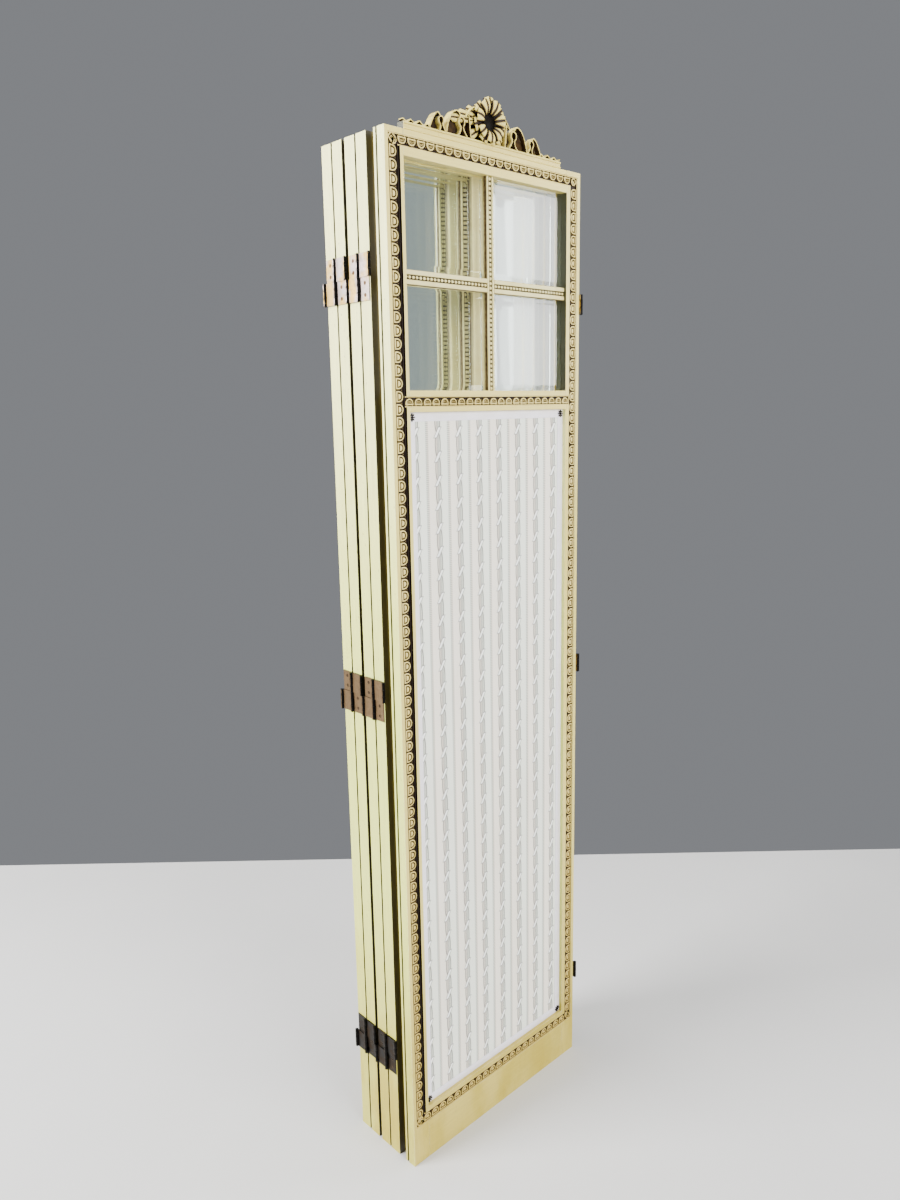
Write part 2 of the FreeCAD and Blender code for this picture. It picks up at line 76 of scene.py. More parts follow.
@dataclass(frozen=True)
class Wire:
    """A value running through a node tree, on which sums are written as plain arithmetic."""

    tree: NodeTree
    socket: NodeSocket

    def maths(self, operation: str, *others: "Wire | float", clamp: bool = False) -> "Wire":
        """Puts this value through a Math node.

        Args:
            operation: the Math node's operation.
            others: the node's further inputs, as values or numbers.
            clamp: whether the result is held between 0 and 1.

        Returns:
            The node's result.
        """
        node = self.tree.nodes.new("ShaderNodeMath")
        node.operation = operation
        node.use_clamp = clamp
        self.tree.links.new(self.socket, node.inputs[0])
        for entry, other in zip(list(node.inputs)[1:], others):
            if isinstance(other, Wire):
                self.tree.links.new(other.socket, entry)
            else:
                entry.default_value = other
        return Wire(self.tree, node.outputs[0])

    def __add__(self, other: "Wire | float") -> "Wire":
        """The sum of two values."""
        return self.maths("ADD", other)

    def __sub__(self, other: "Wire | float") -> "Wire":
        """The difference of two values."""
        return self.maths("SUBTRACT", other)

    def __mul__(self, other: "Wire | float") -> "Wire":
        """The product of two values."""
        return self.maths("MULTIPLY", other)

    def __truediv__(self, other: "Wire | float") -> "Wire":
        """The quotient of two values."""
        return self.maths("DIVIDE", other)

    def wave(self, pitch: float) -> "Wire":
        """A sine wave that repeats at each pitch of the value."""
        return (self * (2 * math.pi / pitch)).maths("SINE")

    def size(self) -> "Wire":
        """The value without its sign."""
        return self.maths("ABSOLUTE")

    def inverted(self) -> "Wire":
        """One less the value, held between 0 and 1."""
        return (self * -1.0).maths("ADD", 1.0, clamp=True)

    def fade(self, low: float, high: float) -> "Wire":
        """A smooth step from 0 at low to 1 at high, or the other way round when low is above high."""
        node = self.tree.nodes.new("ShaderNodeMapRange")
        node.interpolation_type = "SMOOTHSTEP"
        self.tree.links.new(self.socket, node.inputs["Value"])
        first, last, start, end = (low, high, 0.0, 1.0) if low < high else (high, low, 1.0, 0.0)
        node.inputs["From Min"].default_value = first
        node.inputs["From Max"].default_value = last
        node.inputs["To Min"].default_value = start
        node.inputs["To Max"].default_value = end
        return Wire(self.tree, node.outputs["Result"])

    def between(self, low: float, high: float) -> "Wire":
        """The value's 0 to 1 spread out from low to high."""
        return self.maths("MULTIPLY_ADD", high - low, low)


class Bench:
    """Lays out the nodes of one material or one shared node group."""

    def __init__(self, tree: NodeTree) -> None:
        """Starts on an emptied node tree."""
        self.tree = tree
        tree.nodes.clear()

    def add(self, kind: str, **inputs: object) -> Node:
        """Adds a node.

        Args:
            kind: the node's type.
            inputs: its sockets' wires or plain values, with spaces written as underscores.

        Returns:
            The node.
        """
        node = self.tree.nodes.new(kind)
        for name, value in inputs.items():
            self.feed(node.inputs[name.replace("_", " ")], value)
        return node

    def feed(self, socket: NodeSocket, value: object) -> None:
        """Links a wire to a socket, or sets the socket's own value."""
        if isinstance(value, Wire):
            self.tree.links.new(value.socket, socket)
        elif isinstance(value, tuple) and len(value) == 3 and socket.type == "RGBA":
            socket.default_value = (*value, 1.0)
        else:
            socket.default_value = value

    def wire(self, node: Node, output: str | int = 0) -> Wire:
        """One of a node's outputs as a wire."""
        return Wire(self.tree, node.outputs[output])

    def place(self, source: str = "Object") -> Wire:
        """Texture coordinates of the piece: Object, Normal or UV."""
        return self.wire(self.tree.nodes.new("ShaderNodeTexCoord"), source)

    def attribute(self, name: str) -> Wire:
        """A float attribute kept in the piece's mesh."""
        node = self.tree.nodes.new("ShaderNodeAttribute")
        node.attribute_name = name
        return self.wire(node, "Fac")

    def parts(self, vector: Wire) -> tuple[Wire, Wire, Wire]:
        """The three parts of a vector."""
        node = self.add("ShaderNodeSeparateXYZ", Vector=vector)
        return self.wire(node, "X"), self.wire(node, "Y"), self.wire(node, "Z")

    def stretched(self, vector: Wire, scale: tuple[float, float, float]) -> Wire:
        """Coordinates scaled apart along each axis."""
        return self.wire(self.add("ShaderNodeMapping", Vector=vector, Scale=scale))

    def noise(self, vector: Wire, scale: float | Wire, detail: float = 3.0, rough: float = 0.55) -> Wire:
        """Cloudy noise between 0 and 1."""
        return self.wire(
            self.add("ShaderNodeTexNoise", Vector=vector, Scale=scale, Detail=detail, Roughness=rough), "Fac"
        )

    def mix(self, share: Wire | float, first: Wire | Colour, second: Wire | Colour) -> Wire:
        """Two colours mixed, with share of the second."""
        node = self.tree.nodes.new("ShaderNodeMix")
        node.data_type = "RGBA"
        self.feed(node.inputs["Factor"], share)
        self.feed(node.inputs[6], first)
        self.feed(node.inputs[7], second)
        return Wire(self.tree, node.outputs[2])

    def bump(self, height: Wire, depth: float, strength: float = 1.0) -> Wire:
        """A height in 0 to 1 turned into surface normals, depth metres deep."""
        return self.wire(self.add("ShaderNodeBump", Height=height, Distance=depth, Strength=strength), "Normal")

    def shared(self, group: NodeTree, **inputs: object) -> Node:
        """Places a shared node group with its own values."""
        node = self.tree.nodes.new("ShaderNodeGroup")
        node.node_tree = group
        for name, value in inputs.items():
            self.feed(node.inputs[name.replace("_", " ")], value)
        return node

    def aged(self, vector: Wire, scale: float) -> tuple[Wire, Wire]:
        """The yellowed patches and the specks of an old finish."""
        node = self.shared(age_patches(), Vector=vector, Scale=scale)
        return self.wire(node, "Patches"), self.wire(node, "Specks")

    def worn(self, vector: Wire, radius: float) -> Wire:
        """Where edges of about this radius have been rubbed."""
        return self.wire(self.shared(edge_wear(), Vector=vector, Radius=radius), "Wear")

    def surface(self, **inputs: object) -> Node:
        """Adds the Principled shader and joins it to the material's output."""
        shader = self.add("ShaderNodeBsdfPrincipled", **inputs)
        output = self.tree.nodes.new("ShaderNodeOutputMaterial")
        self.tree.links.new(shader.outputs["BSDF"], output.inputs["Surface"])
        return shader


def new_group(name: str, inputs: dict[str, str], outputs: dict[str, str]) -> tuple[Bench, dict[str, Wire]]:
    """Starts a shared node group.

    Args:
        name: the group's name.
        inputs: each input's name and kind of socket.
        outputs: each output's name and kind of socket.

    Returns:
        The bench to lay it out on, and its inputs as wires.
    """
    tree = bpy.data.node_groups.new(name, "ShaderNodeTree")
    bench = Bench(tree)
    for label, kind in inputs.items():
        tree.interface.new_socket(name=label, in_out="INPUT", socket_type=kind)
    for label, kind in outputs.items():
        tree.interface.new_socket(name=label, in_out="OUTPUT", socket_type=kind)
    entry = tree.nodes.new("NodeGroupInput")
    return bench, {label: Wire(tree, entry.outputs[label]) for label in inputs}


def close_group(bench: Bench, **results: Wire) -> NodeTree:
    """Joins a group's results to its outputs and hands the group back."""
    output = bench.tree.nodes.new("NodeGroupOutput")
    for name, wire in results.items():
        bench.tree.links.new(wire.socket, output.inputs[name])
    return bench.tree


VECTOR, FLOAT = "NodeSocketVector", "NodeSocketFloat"


@lru_cache(maxsize=None)
def brush_grain() -> NodeTree:
    """Fine streaks left by the brush and the wood under the paint, drawn out along the stretched axis."""
    bench, given = new_group(
        "brush_grain", {"Vector": VECTOR, "Scale": FLOAT}, {"Streaks": FLOAT, "Height": FLOAT}
    )
    coarse = bench.noise(given["Vector"], given["Scale"], 5.0, 0.65)
    fine = bench.noise(given["Vector"], given["Scale"] * 3.7, 3.0, 0.7)
    streaks = (coarse * 0.65 + fine * 0.35).fade(0.32, 0.68)
    return close_group(bench, Streaks=streaks, Height=fine * 0.5 + coarse * 0.5)


@lru_cache(maxsize=None)
def age_patches() -> NodeTree:
    """Soft patches where an old finish has yellowed, with small specks of dirt among them."""
    bench, given = new_group(
        "age_patches", {"Vector": VECTOR, "Scale": FLOAT}, {"Patches": FLOAT, "Specks": FLOAT}
    )
    patches = bench.noise(given["Vector"], given["Scale"], 4.0, 0.6).fade(0.38, 0.66)
    specks = bench.noise(given["Vector"], given["Scale"] * 24.0, 2.0, 0.5).fade(0.66, 0.74)
    return close_group(bench, Patches=patches, Specks=specks)


@lru_cache(maxsize=None)
def edge_wear() -> NodeTree:
    """Where edges have been rubbed: the rounded normal leaves the flat one there, broken up by noise."""
    bench, given = new_group("edge_wear", {"Vector": VECTOR, "Radius": FLOAT}, {"Wear": FLOAT})
    rounded = bench.add("ShaderNodeBevel", Radius=given["Radius"])
    flat = bench.tree.nodes.new("ShaderNodeNewGeometry")
    angle = bench.tree.nodes.new("ShaderNodeVectorMath")
    angle.operation = "DOT_PRODUCT"
    bench.tree.links.new(rounded.outputs["Normal"], angle.inputs[0])
    bench.tree.links.new(flat.outputs["Normal"], angle.inputs[1])
    edge = Wire(bench.tree, angle.outputs["Value"]).fade(0.995, 0.86)
    broken = bench.noise(given["Vector"], 90.0, 4.0, 0.65).fade(0.3, 0.7)
    return close_group(bench, Wear=edge * broken)


@lru_cache(maxsize=None)
def settled_dust() -> NodeTree:
    """Dust on whatever faces up."""
    bench, given = new_group("settled_dust", {"Vector": VECTOR}, {"Dust": FLOAT})
    flat = bench.tree.nodes.new("ShaderNodeNewGeometry")
    up = bench.parts(Wire(bench.tree, flat.outputs["Normal"]))[2]
    patchy = bench.noise(given["Vector"], 60.0, 4.0, 0.6).between(0.4, 1.0)
    return close_group(bench, Dust=up.fade(0.55, 0.98) * patchy)


def new_material(name: str) -> tuple[Material, Bench]:
    """Starts a node material and the bench to lay it out on."""
    material = bpy.data.materials.new(name)
    material.use_nodes = True
    return material, Bench(material.node_tree)


# ---------------------------------------------------------------- finishes


class Run(Enum):
    """The way that brush marks and wood grain run on a piece."""

    UPRIGHT = (1.0, 1.0, 0.06)
    LEVEL = (0.06, 1.0, 1.0)


@dataclass(frozen=True)
class Finish:
    """A finish, which makes its material once and shares it with every equal finish."""

    name: str

    @lru_cache(maxsize=None)
    def build(self) -> Material:
        """Makes the finish's material."""
        material, bench = new_material(self.name)
        self.lay_out(bench)
        return material

    def lay_out(self, bench: Bench) -> None:
        """Lays out the finish's nodes, its surface last."""
        raise NotImplementedError


@dataclass(frozen=True)
class CreamPaint(Finish):
    """Old cream paint with painted light and shade: a yellow-green tone on faces turned sideways and a paler top
    as painted light, mottled mustard towards the foot and dark in the gaps between leaves and in the window's
    side reveals as painted shade.
    """

    run: Run
    face: Colour = paint(226, 208, 112)
    # painted light: the tone given to faces turned sideways, as the side light brightens them
    edge: Colour = paint(222, 228, 110)
    # painted light: a paler tone near the top
    lit_top: Colour = paint(255, 252, 172)
    # painted shade: the darker mustard that the paint turns to towards the foot
    foot: Colour = paint(180, 158, 34)
    # painted shade: dark olive for the window's side reveals
    reveal_shade: Colour = paint(30, 32, 12)
    glaze: Colour = paint(112, 84, 34)
    # painted shade: near-black for the narrow gaps between the folded leaves
    gap_shade: Colour = paint(15, 12, 4)
    worn: Colour = paint(244, 240, 206)
    roughness: float = 0.42

    def lay_out(self, bench: Bench) -> None:
        """Makes the paint: two tones by facing and a paler top, which are painted light, painted shade towards
        the foot, in the gaps between leaves and in the window's reveals, brush streaks, yellowed patches, rubbed
        edges and dust.
        """
        place = bench.place()
        across, inward, _ = bench.parts(bench.place("Normal"))
        side, depth, height = bench.parts(place)
        grain = bench.shared(brush_grain(), Vector=bench.stretched(place, self.run.value), Scale=210.0)
        patches, specks = bench.aged(bench.stretched(place, (1.0, 1.0, 0.45)), 11.0)
        wear = bench.worn(place, 1.6 * MM)
        dust = bench.shared(settled_dust(), Vector=place)
        # painted light: faces turned sideways take a brighter yellow-green tone, paler still near the top
        side_light_tone = bench.mix(height.fade(0.75, 1.7), self.edge, self.lit_top)
        tone = bench.mix(across.size().fade(0.4, 0.9), self.face, side_light_tone)
        # painted shade: mustard towards the foot, mottled by the yellowed patches
        low = height.fade(0.62, 0.02) * patches.between(0.6, 1.0)
        tone = bench.mix(low * 0.92, tone, self.foot)
        streaks = bench.wire(grain, "Streaks")
        tone = bench.mix(streaks.inverted() * 0.16, tone, self.glaze)
        tone = bench.mix(specks * 0.35, tone, self.glaze)
        tone = bench.mix(wear * 0.7, tone, self.worn)
        tone = bench.mix(bench.wire(dust, "Dust") * 0.18, tone, paint(150, 140, 110))
        # painted shade on the faces that look into the narrow gaps between the leaves, near their edges
        gap_shade_mask = inward.size().fade(0.5, 0.9) * depth.fade(-0.074, -0.068) * depth.fade(0.079, 0.073)
        tone = bench.mix(gap_shade_mask * side.size().fade(0.212, 0.226) * 0.96, tone, self.gap_shade)
        # painted shade on the window's side reveals
        reveal_shade_mask = across.size().fade(0.7, 0.9) * side.size().fade(0.21, 0.2) * height.fade(1.39, 1.41)
        tone = bench.mix(reveal_shade_mask * 0.96, tone, self.reveal_shade)
        bench.surface(
            Base_Color=tone,
            Roughness=patches.between(self.roughness - 0.06, self.roughness + 0.12),
            Normal=bench.bump(bench.wire(grain, "Height"), 0.22 * MM, 0.7),
            Coat_Weight=0.12,
            Coat_Roughness=0.3,
        )


@dataclass(frozen=True)
class CarvedGlaze(Finish):
    """Cream paint on carving, darkened to brown-black in its hollows: partly a glaze wiped into them and partly
    painted shade that deepens with the carving's depth, with painted shade towards the foot as well.
    """

    crown: Colour = paint(226, 208, 134)
    # partly painted shade: the mid-depth and deepest tones that the carving darkens to
    slope: Colour = paint(112, 82, 28)
    foot: Colour = paint(176, 150, 58)
    hollow: Colour = paint(30, 16, 4)
    dark_below: float = 0.5
    light_above: float = 0.92

    def lay_out(self, bench: Bench) -> None:
        """Makes the finish from the mesh's "carve" attribute: 0 in a hollow and 1 on a crown; the tone darkens
        with depth, partly as painted shade.
        """
        place = bench.place()
        ragged = bench.noise(place, 260.0, 3.0, 0.6).between(-0.13, 0.13)
        depth = bench.attribute("carve") + ragged
        patches, specks = bench.aged(place, 14.0)
        grain = bench.shared(brush_grain(), Vector=place, Scale=160.0)
        # partly painted shade: the tone runs from crown through slope to hollow as the carving deepens
        lit = depth.fade(self.dark_below, self.light_above)
        tone = bench.mix(depth.fade(self.dark_below - 0.12, self.dark_below + 0.22), self.hollow, self.slope)
        # painted shade: the crown tone darkens towards the foot
        low = bench.parts(place)[2].fade(1.25, 0.15)
        tone = bench.mix(lit, tone, bench.mix(low * 0.7, self.crown, self.foot))
        tone = bench.mix(patches * 0.45, tone, bench.mix(lit, self.hollow, paint(196, 172, 92)))
        tone = bench.mix(specks * 0.4, tone, self.hollow)
        bench.surface(
            Base_Color=tone,
            Roughness=lit.between(0.62, 0.4),
            Normal=bench.bump(bench.wire(grain, "Height"), 0.3 * MM, 0.6),
            Specular_IOR_Level=0.22,
            Coat_Weight=0.04,
            Coat_Roughness=0.3,
        )


@dataclass(frozen=True)
class PaintedHollowShade(Finish):
    """The brown-black that fills the insides of the carved ribbons and the other hollows: painted shade where
    they lie in shadow.
    """

    name: str = "painted_hollow_shade"
    # painted shade: brown-black for hollows that lie in shadow
    dark: Colour = paint(30, 17, 6)
    rubbed: Colour = paint(96, 72, 34)
    wear: float = 1.0

    def lay_out(self, bench: Bench) -> None:
        """Makes a dull dark painted shade, rubbed thin in patches."""
        place = bench.place()
        patches = bench.aged(place, 45.0)[0]
        wear = bench.worn(place, 0.8 * MM)
        tone = bench.mix(patches * 0.35, self.dark, self.rubbed)
        tone = bench.mix(wear * self.wear, tone, paint(214, 200, 150))
        rough = patches.between(0.6, 0.85)
        bench.surface(Base_Color=tone, Roughness=rough, Specular_IOR_Level=0.15)


@dataclass(frozen=True)
class BevelledGlass(Finish):
    """Clear plate glass with a faint green cast and a few smears."""

    name: str = "bevelled_glass"
    tint: Colour = paint(250, 254, 252)

    def lay_out(self, bench: Bench) -> None:
        """Makes glass with wiped smears that dull its gloss, and lets lamps shine through to what is behind."""
        place = bench.place()
        smears = bench.noise(bench.stretched(place, (1.0, 1.0, 0.35)), 22.0, 5.0, 0.7).fade(0.5, 0.8)
        shade = bench.mix(smears * 0.5, self.tint, paint(240, 246, 245))
        bench.surface(
            Base_Color=shade,
            Roughness=smears.between(0.01, 0.06),
            Transmission_Weight=1.0,
            IOR=1.5,
            Alpha=bench.wire(bench.add("ShaderNodeLightPath"), "Is Shadow Ray").between(1.0, 0.08),
        )


@dataclass(frozen=True)
class WovenStripe(Finish):
    """Ivory cloth woven in stripes: a figured stripe of twisted strands and a dotted line between each two."""

    name: str = "woven_stripe"
    repeat: float = 49.7
    first: float = 16.0
    twist: float = 40.0
    half_width: float = 5.6
    tick_pitch: float = 1.7
    rib_pitch: float = 3.2
    warp_pitch: float = 0.55
    weft_pitch: float = 0.7
    warm: Colour = paint(246, 238, 222)
    cool: Colour = paint(238, 242, 228)
    shade: Colour = paint(62, 60, 56)
    bright: Colour = paint(255, 255, 250)

    def lay_out(self, bench: Bench) -> None:
        """Makes the cloth on the piece's UV map, which is in metres from the panel's lower left corner."""
        right, up, _ = bench.parts(bench.place("UV"))
        across, along = right / MM, up / MM
        phase = ((across - self.first) / self.repeat + 0.5).maths("FRACT") - 0.5
        offset = phase * self.repeat
        gap = offset.size()
        turn = along.wave(2 * self.twist)
        swell = turn.size().maths("POWER", 0.3) * self.half_width
        strand = (gap - swell).size().fade(1.3, 0.5)
        inside = (swell - gap).fade(0.6, 1.2)
        ticks = along.wave(self.tick_pitch).fade(-0.2, 0.6)
        core = gap.fade(3.9, 3.0)
        hatch = inside * core * ticks.between(0.25, 1.0)
        knot_phase = (along / self.twist + 0.5).maths("FRACT") - 0.5
        knot = knot_phase * self.twist
        from_knot = (offset - knot * 0.62).size()
        diagonal = from_knot.fade(3.1, 2.1) * knot.size().fade(9.5, 7.0)
        halo = from_knot.fade(4.6, 3.4) * knot.size().fade(10.5, 8.5)
        ribs = along.wave(self.rib_pitch).fade(-0.6, 0.4)
        dotted = gap.fade(self.repeat / 2 - 4.2, self.repeat / 2 - 2.2) * ribs.between(0.3, 0.75)
        ground = bench.mix(offset.fade(-0.4, 0.4), self.warm, self.cool)
        cloud = bench.noise(bench.place("Object"), 9.0, 3.0, 0.5).fade(0.35, 0.7)
        tone = bench.mix(cloud * 0.12, ground, paint(214, 202, 176))
        tone = bench.mix(gap.fade(8.5, 7.0) * 0.1, tone, self.shade)
        tone = bench.mix(dotted * 0.75, tone, self.shade)
        tone = bench.mix(strand * 0.9, tone, self.shade)
        tone = bench.mix(hatch * 0.8, tone, self.shade)
        tone = bench.mix(halo * 0.75, tone, self.shade)
        tone = bench.mix(diagonal, tone, self.bright)
        warp = across.wave(self.warp_pitch)
        weft = along.wave(self.weft_pitch)
        weave = warp * weft * 0.25 + diagonal * 0.6 + strand * 0.3
        bench.surface(
            Base_Color=tone,
            Roughness=diagonal.between(0.74, 0.42),
            Normal=bench.bump(weave, 0.16 * MM, 0.6),
            Sheen_Weight=0.15,
            Sheen_Roughness=0.4,
        )


@dataclass(frozen=True)
class SatinRibbon(Finish):
    """The white ribbon glued round the cloth, with a lilac cast and a fine cross rib."""

    name: str = "satin_ribbon"
    tone: Colour = paint(238, 234, 240)

    def lay_out(self, bench: Bench) -> None:
        """Makes a soft satin with fine ribs across it."""
        place = bench.place()
        across, _, height = bench.parts(place)
        ribs = (across + height).wave(1.1 * MM)
        patches = bench.aged(place, 30.0)[0]
        tone = bench.mix(patches * 0.3, self.tone, paint(222, 214, 206))
        bench.surface(
            Base_Color=tone,
            Roughness=patches.between(0.36, 0.5),
            Normal=bench.bump(ribs, 0.05 * MM, 0.5),
            Sheen_Weight=0.25,
            Sheen_Roughness=0.35,
        )


@dataclass(frozen=True)
class AgedBrass(Finish):
    """Brass that is bright at the top hinges, brown at the middle ones and nearly black at the foot."""

    top: Colour = paint(236, 196, 116)
    middle: Colour = paint(128, 104, 74)
    foot: Colour = paint(15, 11, 8)
    pale: Colour = paint(214, 196, 190)
    # painted shade: near-black for the sides of the plates and knuckles, where the gaps between them lie in
    # shade
    flank: Colour = paint(10, 8, 6)

    def lay_out(self, bench: Bench) -> None:
        """Makes the metal, darkened in patches, rubbed bright along its edges, and painted near-black as shade
        on every face not turned straight sideways.
        """
        place = bench.place()
        _, _, height = bench.parts(place)
        patches, specks = bench.aged(place, 70.0)
        wear = bench.worn(place, 0.5 * MM)
        tone = bench.mix(height.fade(0.35, 0.8), self.foot, self.middle)
        lustre = bench.mix(bench.noise(place, 34.0, 2.0, 0.5).fade(0.42, 0.58), self.top, self.pale)
        tone = bench.mix(height.fade(1.0, 1.5), tone, lustre)
        tone = bench.mix(patches * 0.4, tone, paint(74, 56, 36))
        tone = bench.mix(specks * 0.5, tone, paint(30, 20, 12))
        tone = bench.mix(wear * 0.3, tone, paint(236, 206, 150))
        # painted shade: near-black wherever the face is not turned straight sideways
        flanks = bench.parts(bench.place("Normal"))[0].size().fade(0.99, 0.955)
        tone = bench.mix(flanks, tone, self.flank)
        bench.surface(
            Base_Color=tone,
            Metallic=0.85,
            Roughness=patches.between(0.32, 0.58),
            Normal=bench.bump(patches, 0.08 * MM, 0.5),
        )


@dataclass(frozen=True)
class DarkBronze(Finish):
    """The nearly black metal of the corner rosettes."""

    name: str = "dark_bronze"

    def lay_out(self, bench: Bench) -> None:
        """Makes a dark metal with a rubbed edge."""
        place = bench.place()
        patches = bench.aged(place, 160.0)[0]
        wear = bench.worn(place, 0.5 * MM)
        tone = bench.mix(patches * 0.6, paint(22, 18, 14), paint(56, 44, 28))
        tone = bench.mix(wear * 0.6, tone, paint(150, 128, 88))
        bench.surface(Base_Color=tone, Metallic=0.7, Roughness=patches.between(0.4, 0.6))


@dataclass(frozen=True)
class CoreBoard(Finish):
    """The plain softwood board that the cloth is stretched over."""

    name: str = "core_board"

    def lay_out(self, bench: Bench) -> None:
        """Makes bare wood with upright grain."""
        place = bench.place()
        grain = bench.shared(brush_grain(), Vector=bench.stretched(place, Run.UPRIGHT.value), Scale=90.0)
        tone = bench.mix(bench.wire(grain, "Streaks"), paint(176, 140, 92), paint(206, 176, 128))
        bench.surface(Base_Color=tone, Roughness=bench.wire(grain, "Streaks").between(0.7, 0.6))


# ---------------------------------------------------------------- shaping helpers


def extruded(bm: BMesh, faces: list[BMFace], move: Vector) -> list[BMVert]:
    """Extrudes faces and moves the new ones.

    Args:
        bm: the mesh being shaped.
        faces: the faces to extrude.
        move: how far the new faces go.

    Returns:
        The new vertices.
    """
    grown = bmesh.ops.extrude_face_region(bm, geom=faces)["geom"]
    verts = [g for g in grown if isinstance(g, BMVert)]
    bmesh.ops.translate(bm, verts=verts, vec=move)
    return verts


def boxed(bm: BMesh, low: Vector, high: Vector) -> list[BMVert]:
    """Adds a box between two corners and hands back its vertices."""
    verts = bmesh.ops.create_cube(bm, size=1.0)["verts"]
    bmesh.ops.scale(bm, verts=verts, vec=high - low)
    bmesh.ops.translate(bm, verts=verts, vec=(low + high) / 2)
    return verts


def eased(bm: BMesh, edges: list[BMEdge], offset: float, segments: int = 2) -> None:
    """Rounds some of a shape's edges."""
    bmesh.ops.bevel(bm, geom=edges, offset=offset, segments=segments, profile=0.5, affect="EDGES", material=-1)


def held(value: float) -> float:
    """A number held between 0 and 1."""
    return min(1.0, max(0.0, value))


def smooth_path(points: list[tuple[float, float]], steps: int = 4) -> list[Vector]:
    """A smooth line through points of the crest's face.

    Args:
        points: (across, up) pairs in millimetres.
        steps: how many pieces each gap is divided into.

    Returns:
        Points on the line, in metres.
    """
    guide = [Vector(p) for p in points]
    guide = [guide[0] * 2 - guide[1], *guide, guide[-1] * 2 - guide[-2]]
    line = []
    for before, start, end, after in zip(guide, guide[1:], guide[2:], guide[3:]):
        for step in range(steps):
            t = step / steps
            line.append(
                (
                    start * 2
                    + (end - before) * t
                    + (before * 2 - start * 5 + end * 4 - after) * t**2
                    + (start * 3 - before - end * 3 + after) * t**3
                )
                / 2
                * MM
            )
    return [*line, guide[-2] * MM]


def raw_mesh(bm: BMesh, name: str) -> Mesh:
    """Closes a bmesh into a mesh and frees it."""
    mesh = bpy.data.meshes.new(name)
    bm.to_mesh(mesh)
    bm.free()
    return mesh


def to_mesh(bm: BMesh, name: str, crease: float = 35.0) -> Mesh:
    """Closes a bmesh into a smooth-shaded mesh.

    Args:
        bm: the finished shape, which is freed.
        name: the mesh's name.
        crease: the angle in degrees above which an edge stays sharp.

    Returns:
        The mesh.
    """
    mesh = raw_mesh(bm, name)
    mesh.shade_smooth()
    mesh.set_sharp_from_angle(angle=math.radians(crease))
    return mesh


def set_piece(
    name: str, mesh: Mesh, body: str, nodes: list[str], finishes: list[Finish]
) -> Object:
    """Puts a finished mesh into the scene as a piece of the screen.

    Args:
        name: the piece's name.
        mesh: its mesh, already in place.
        body: the leaf that it moves with.
        nodes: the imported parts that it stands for.
        finishes: its finishes, in the order of the mesh's material indices.

    Returns:
        The piece.
    """
    piece = bpy.data.objects.new(name, mesh)
    bpy.context.scene.collection.objects.link(piece)
    for finish in finishes:
        mesh.materials.append(finish.build())
    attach(piece, body)
    if nodes:
        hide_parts(*nodes)
    LOG.info("%s: %d faces on %s", name, len(mesh.polygons), body)
    return piece


def soften(piece: Object, width: float, segments: int = 2) -> None:
    """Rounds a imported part's edges with live modifiers, which leave its mesh as it is."""
    weld = piece.modifiers.new("weld", "WELD")
    weld.merge_threshold = WELD_GAP
    bevel = piece.modifiers.new("bevel", "BEVEL")
    bevel.width = width
    bevel.segments = segments
    bevel.limit_method = "ANGLE"
    bevel.angle_limit = ROUND_ABOVE
    bevel.harden_normals = False


def thicken(piece: Object, wall: float, finish_shift: int = 0) -> None:
    """Gives a one-faced shape its thickness, behind its faces.

    Args:
        piece: the piece.
        wall: the thickness in metres.
        finish_shift: how many finishes further on the back is than the front.
    """
    thick = piece.modifiers.new("thickness", "SOLIDIFY")
    thick.thickness = wall
    thick.offset = -1.0
    thick.material_offset = finish_shift


def dress_node(node: str, finish: Finish, width: float = 0.0) -> None:
    """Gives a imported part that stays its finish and, where width is set, rounded edges."""
    piece = frame["nodes"][node]
    for holder in piece.material_slots:
        holder.material = finish.build()
    if width:
        soften(piece, width)
    LOG.info("%s dressed with %s", node, finish.name)


# ---------------------------------------------------------------- where the leaves stand


class PinSide(Enum):
    """A hinge pin's place in a leaf's own millimetres: across from its left edge and in from its front."""

    LEFT_FRONT = (-3.8, -2.0)
    LEFT_BACK = (-3.8, 27.0)
    RIGHT_FRONT = (471.8, -2.0)
    RIGHT_BACK = (471.8, 27.0)

    def point(self) -> Vector:
        """The pin's place in metres."""
        return Vector(self.value) * MM


@dataclass(frozen=True)
class LeafPlace:
    """Where a leaf stands: its own frame has its left front foot at zero, X across, Y in and Z up."""

    number: int
    turn: float
    corner: tuple[float, float]

    @property
    def body(self) -> str:
        """The name of the leaf's body."""
        return f"leaf{self.number}"

    @property
    def matrix(self) -> Matrix:
        """Takes the leaf's own frame to where it stands."""
        return Matrix.Translation((*self.corner, 0.0)) @ Matrix.Rotation(self.turn, 4, "Z")

    @staticmethod
    def on_pin(number: int, turn: float, side: PinSide, pin: Vector) -> "LeafPlace":
        """A leaf at a known turn with one of its pins in a known place."""
        corner = pin - Matrix.Rotation(turn, 2) @ side.point()
        return LeafPlace(number, turn, (corner.x, corner.y))

    @staticmethod
    def between_pins(number: int, sides: tuple[PinSide, PinSide], pins: tuple[Vector, Vector]) -> "LeafPlace":
        """A leaf with both of its pins in known places."""
        own = sides[1].point() - sides[0].point()
        real = pins[1] - pins[0]
        turn = math.atan2(real.y, real.x) - math.atan2(own.y, own.x)
        return LeafPlace.on_pin(number, turn, sides[0], pins[0])


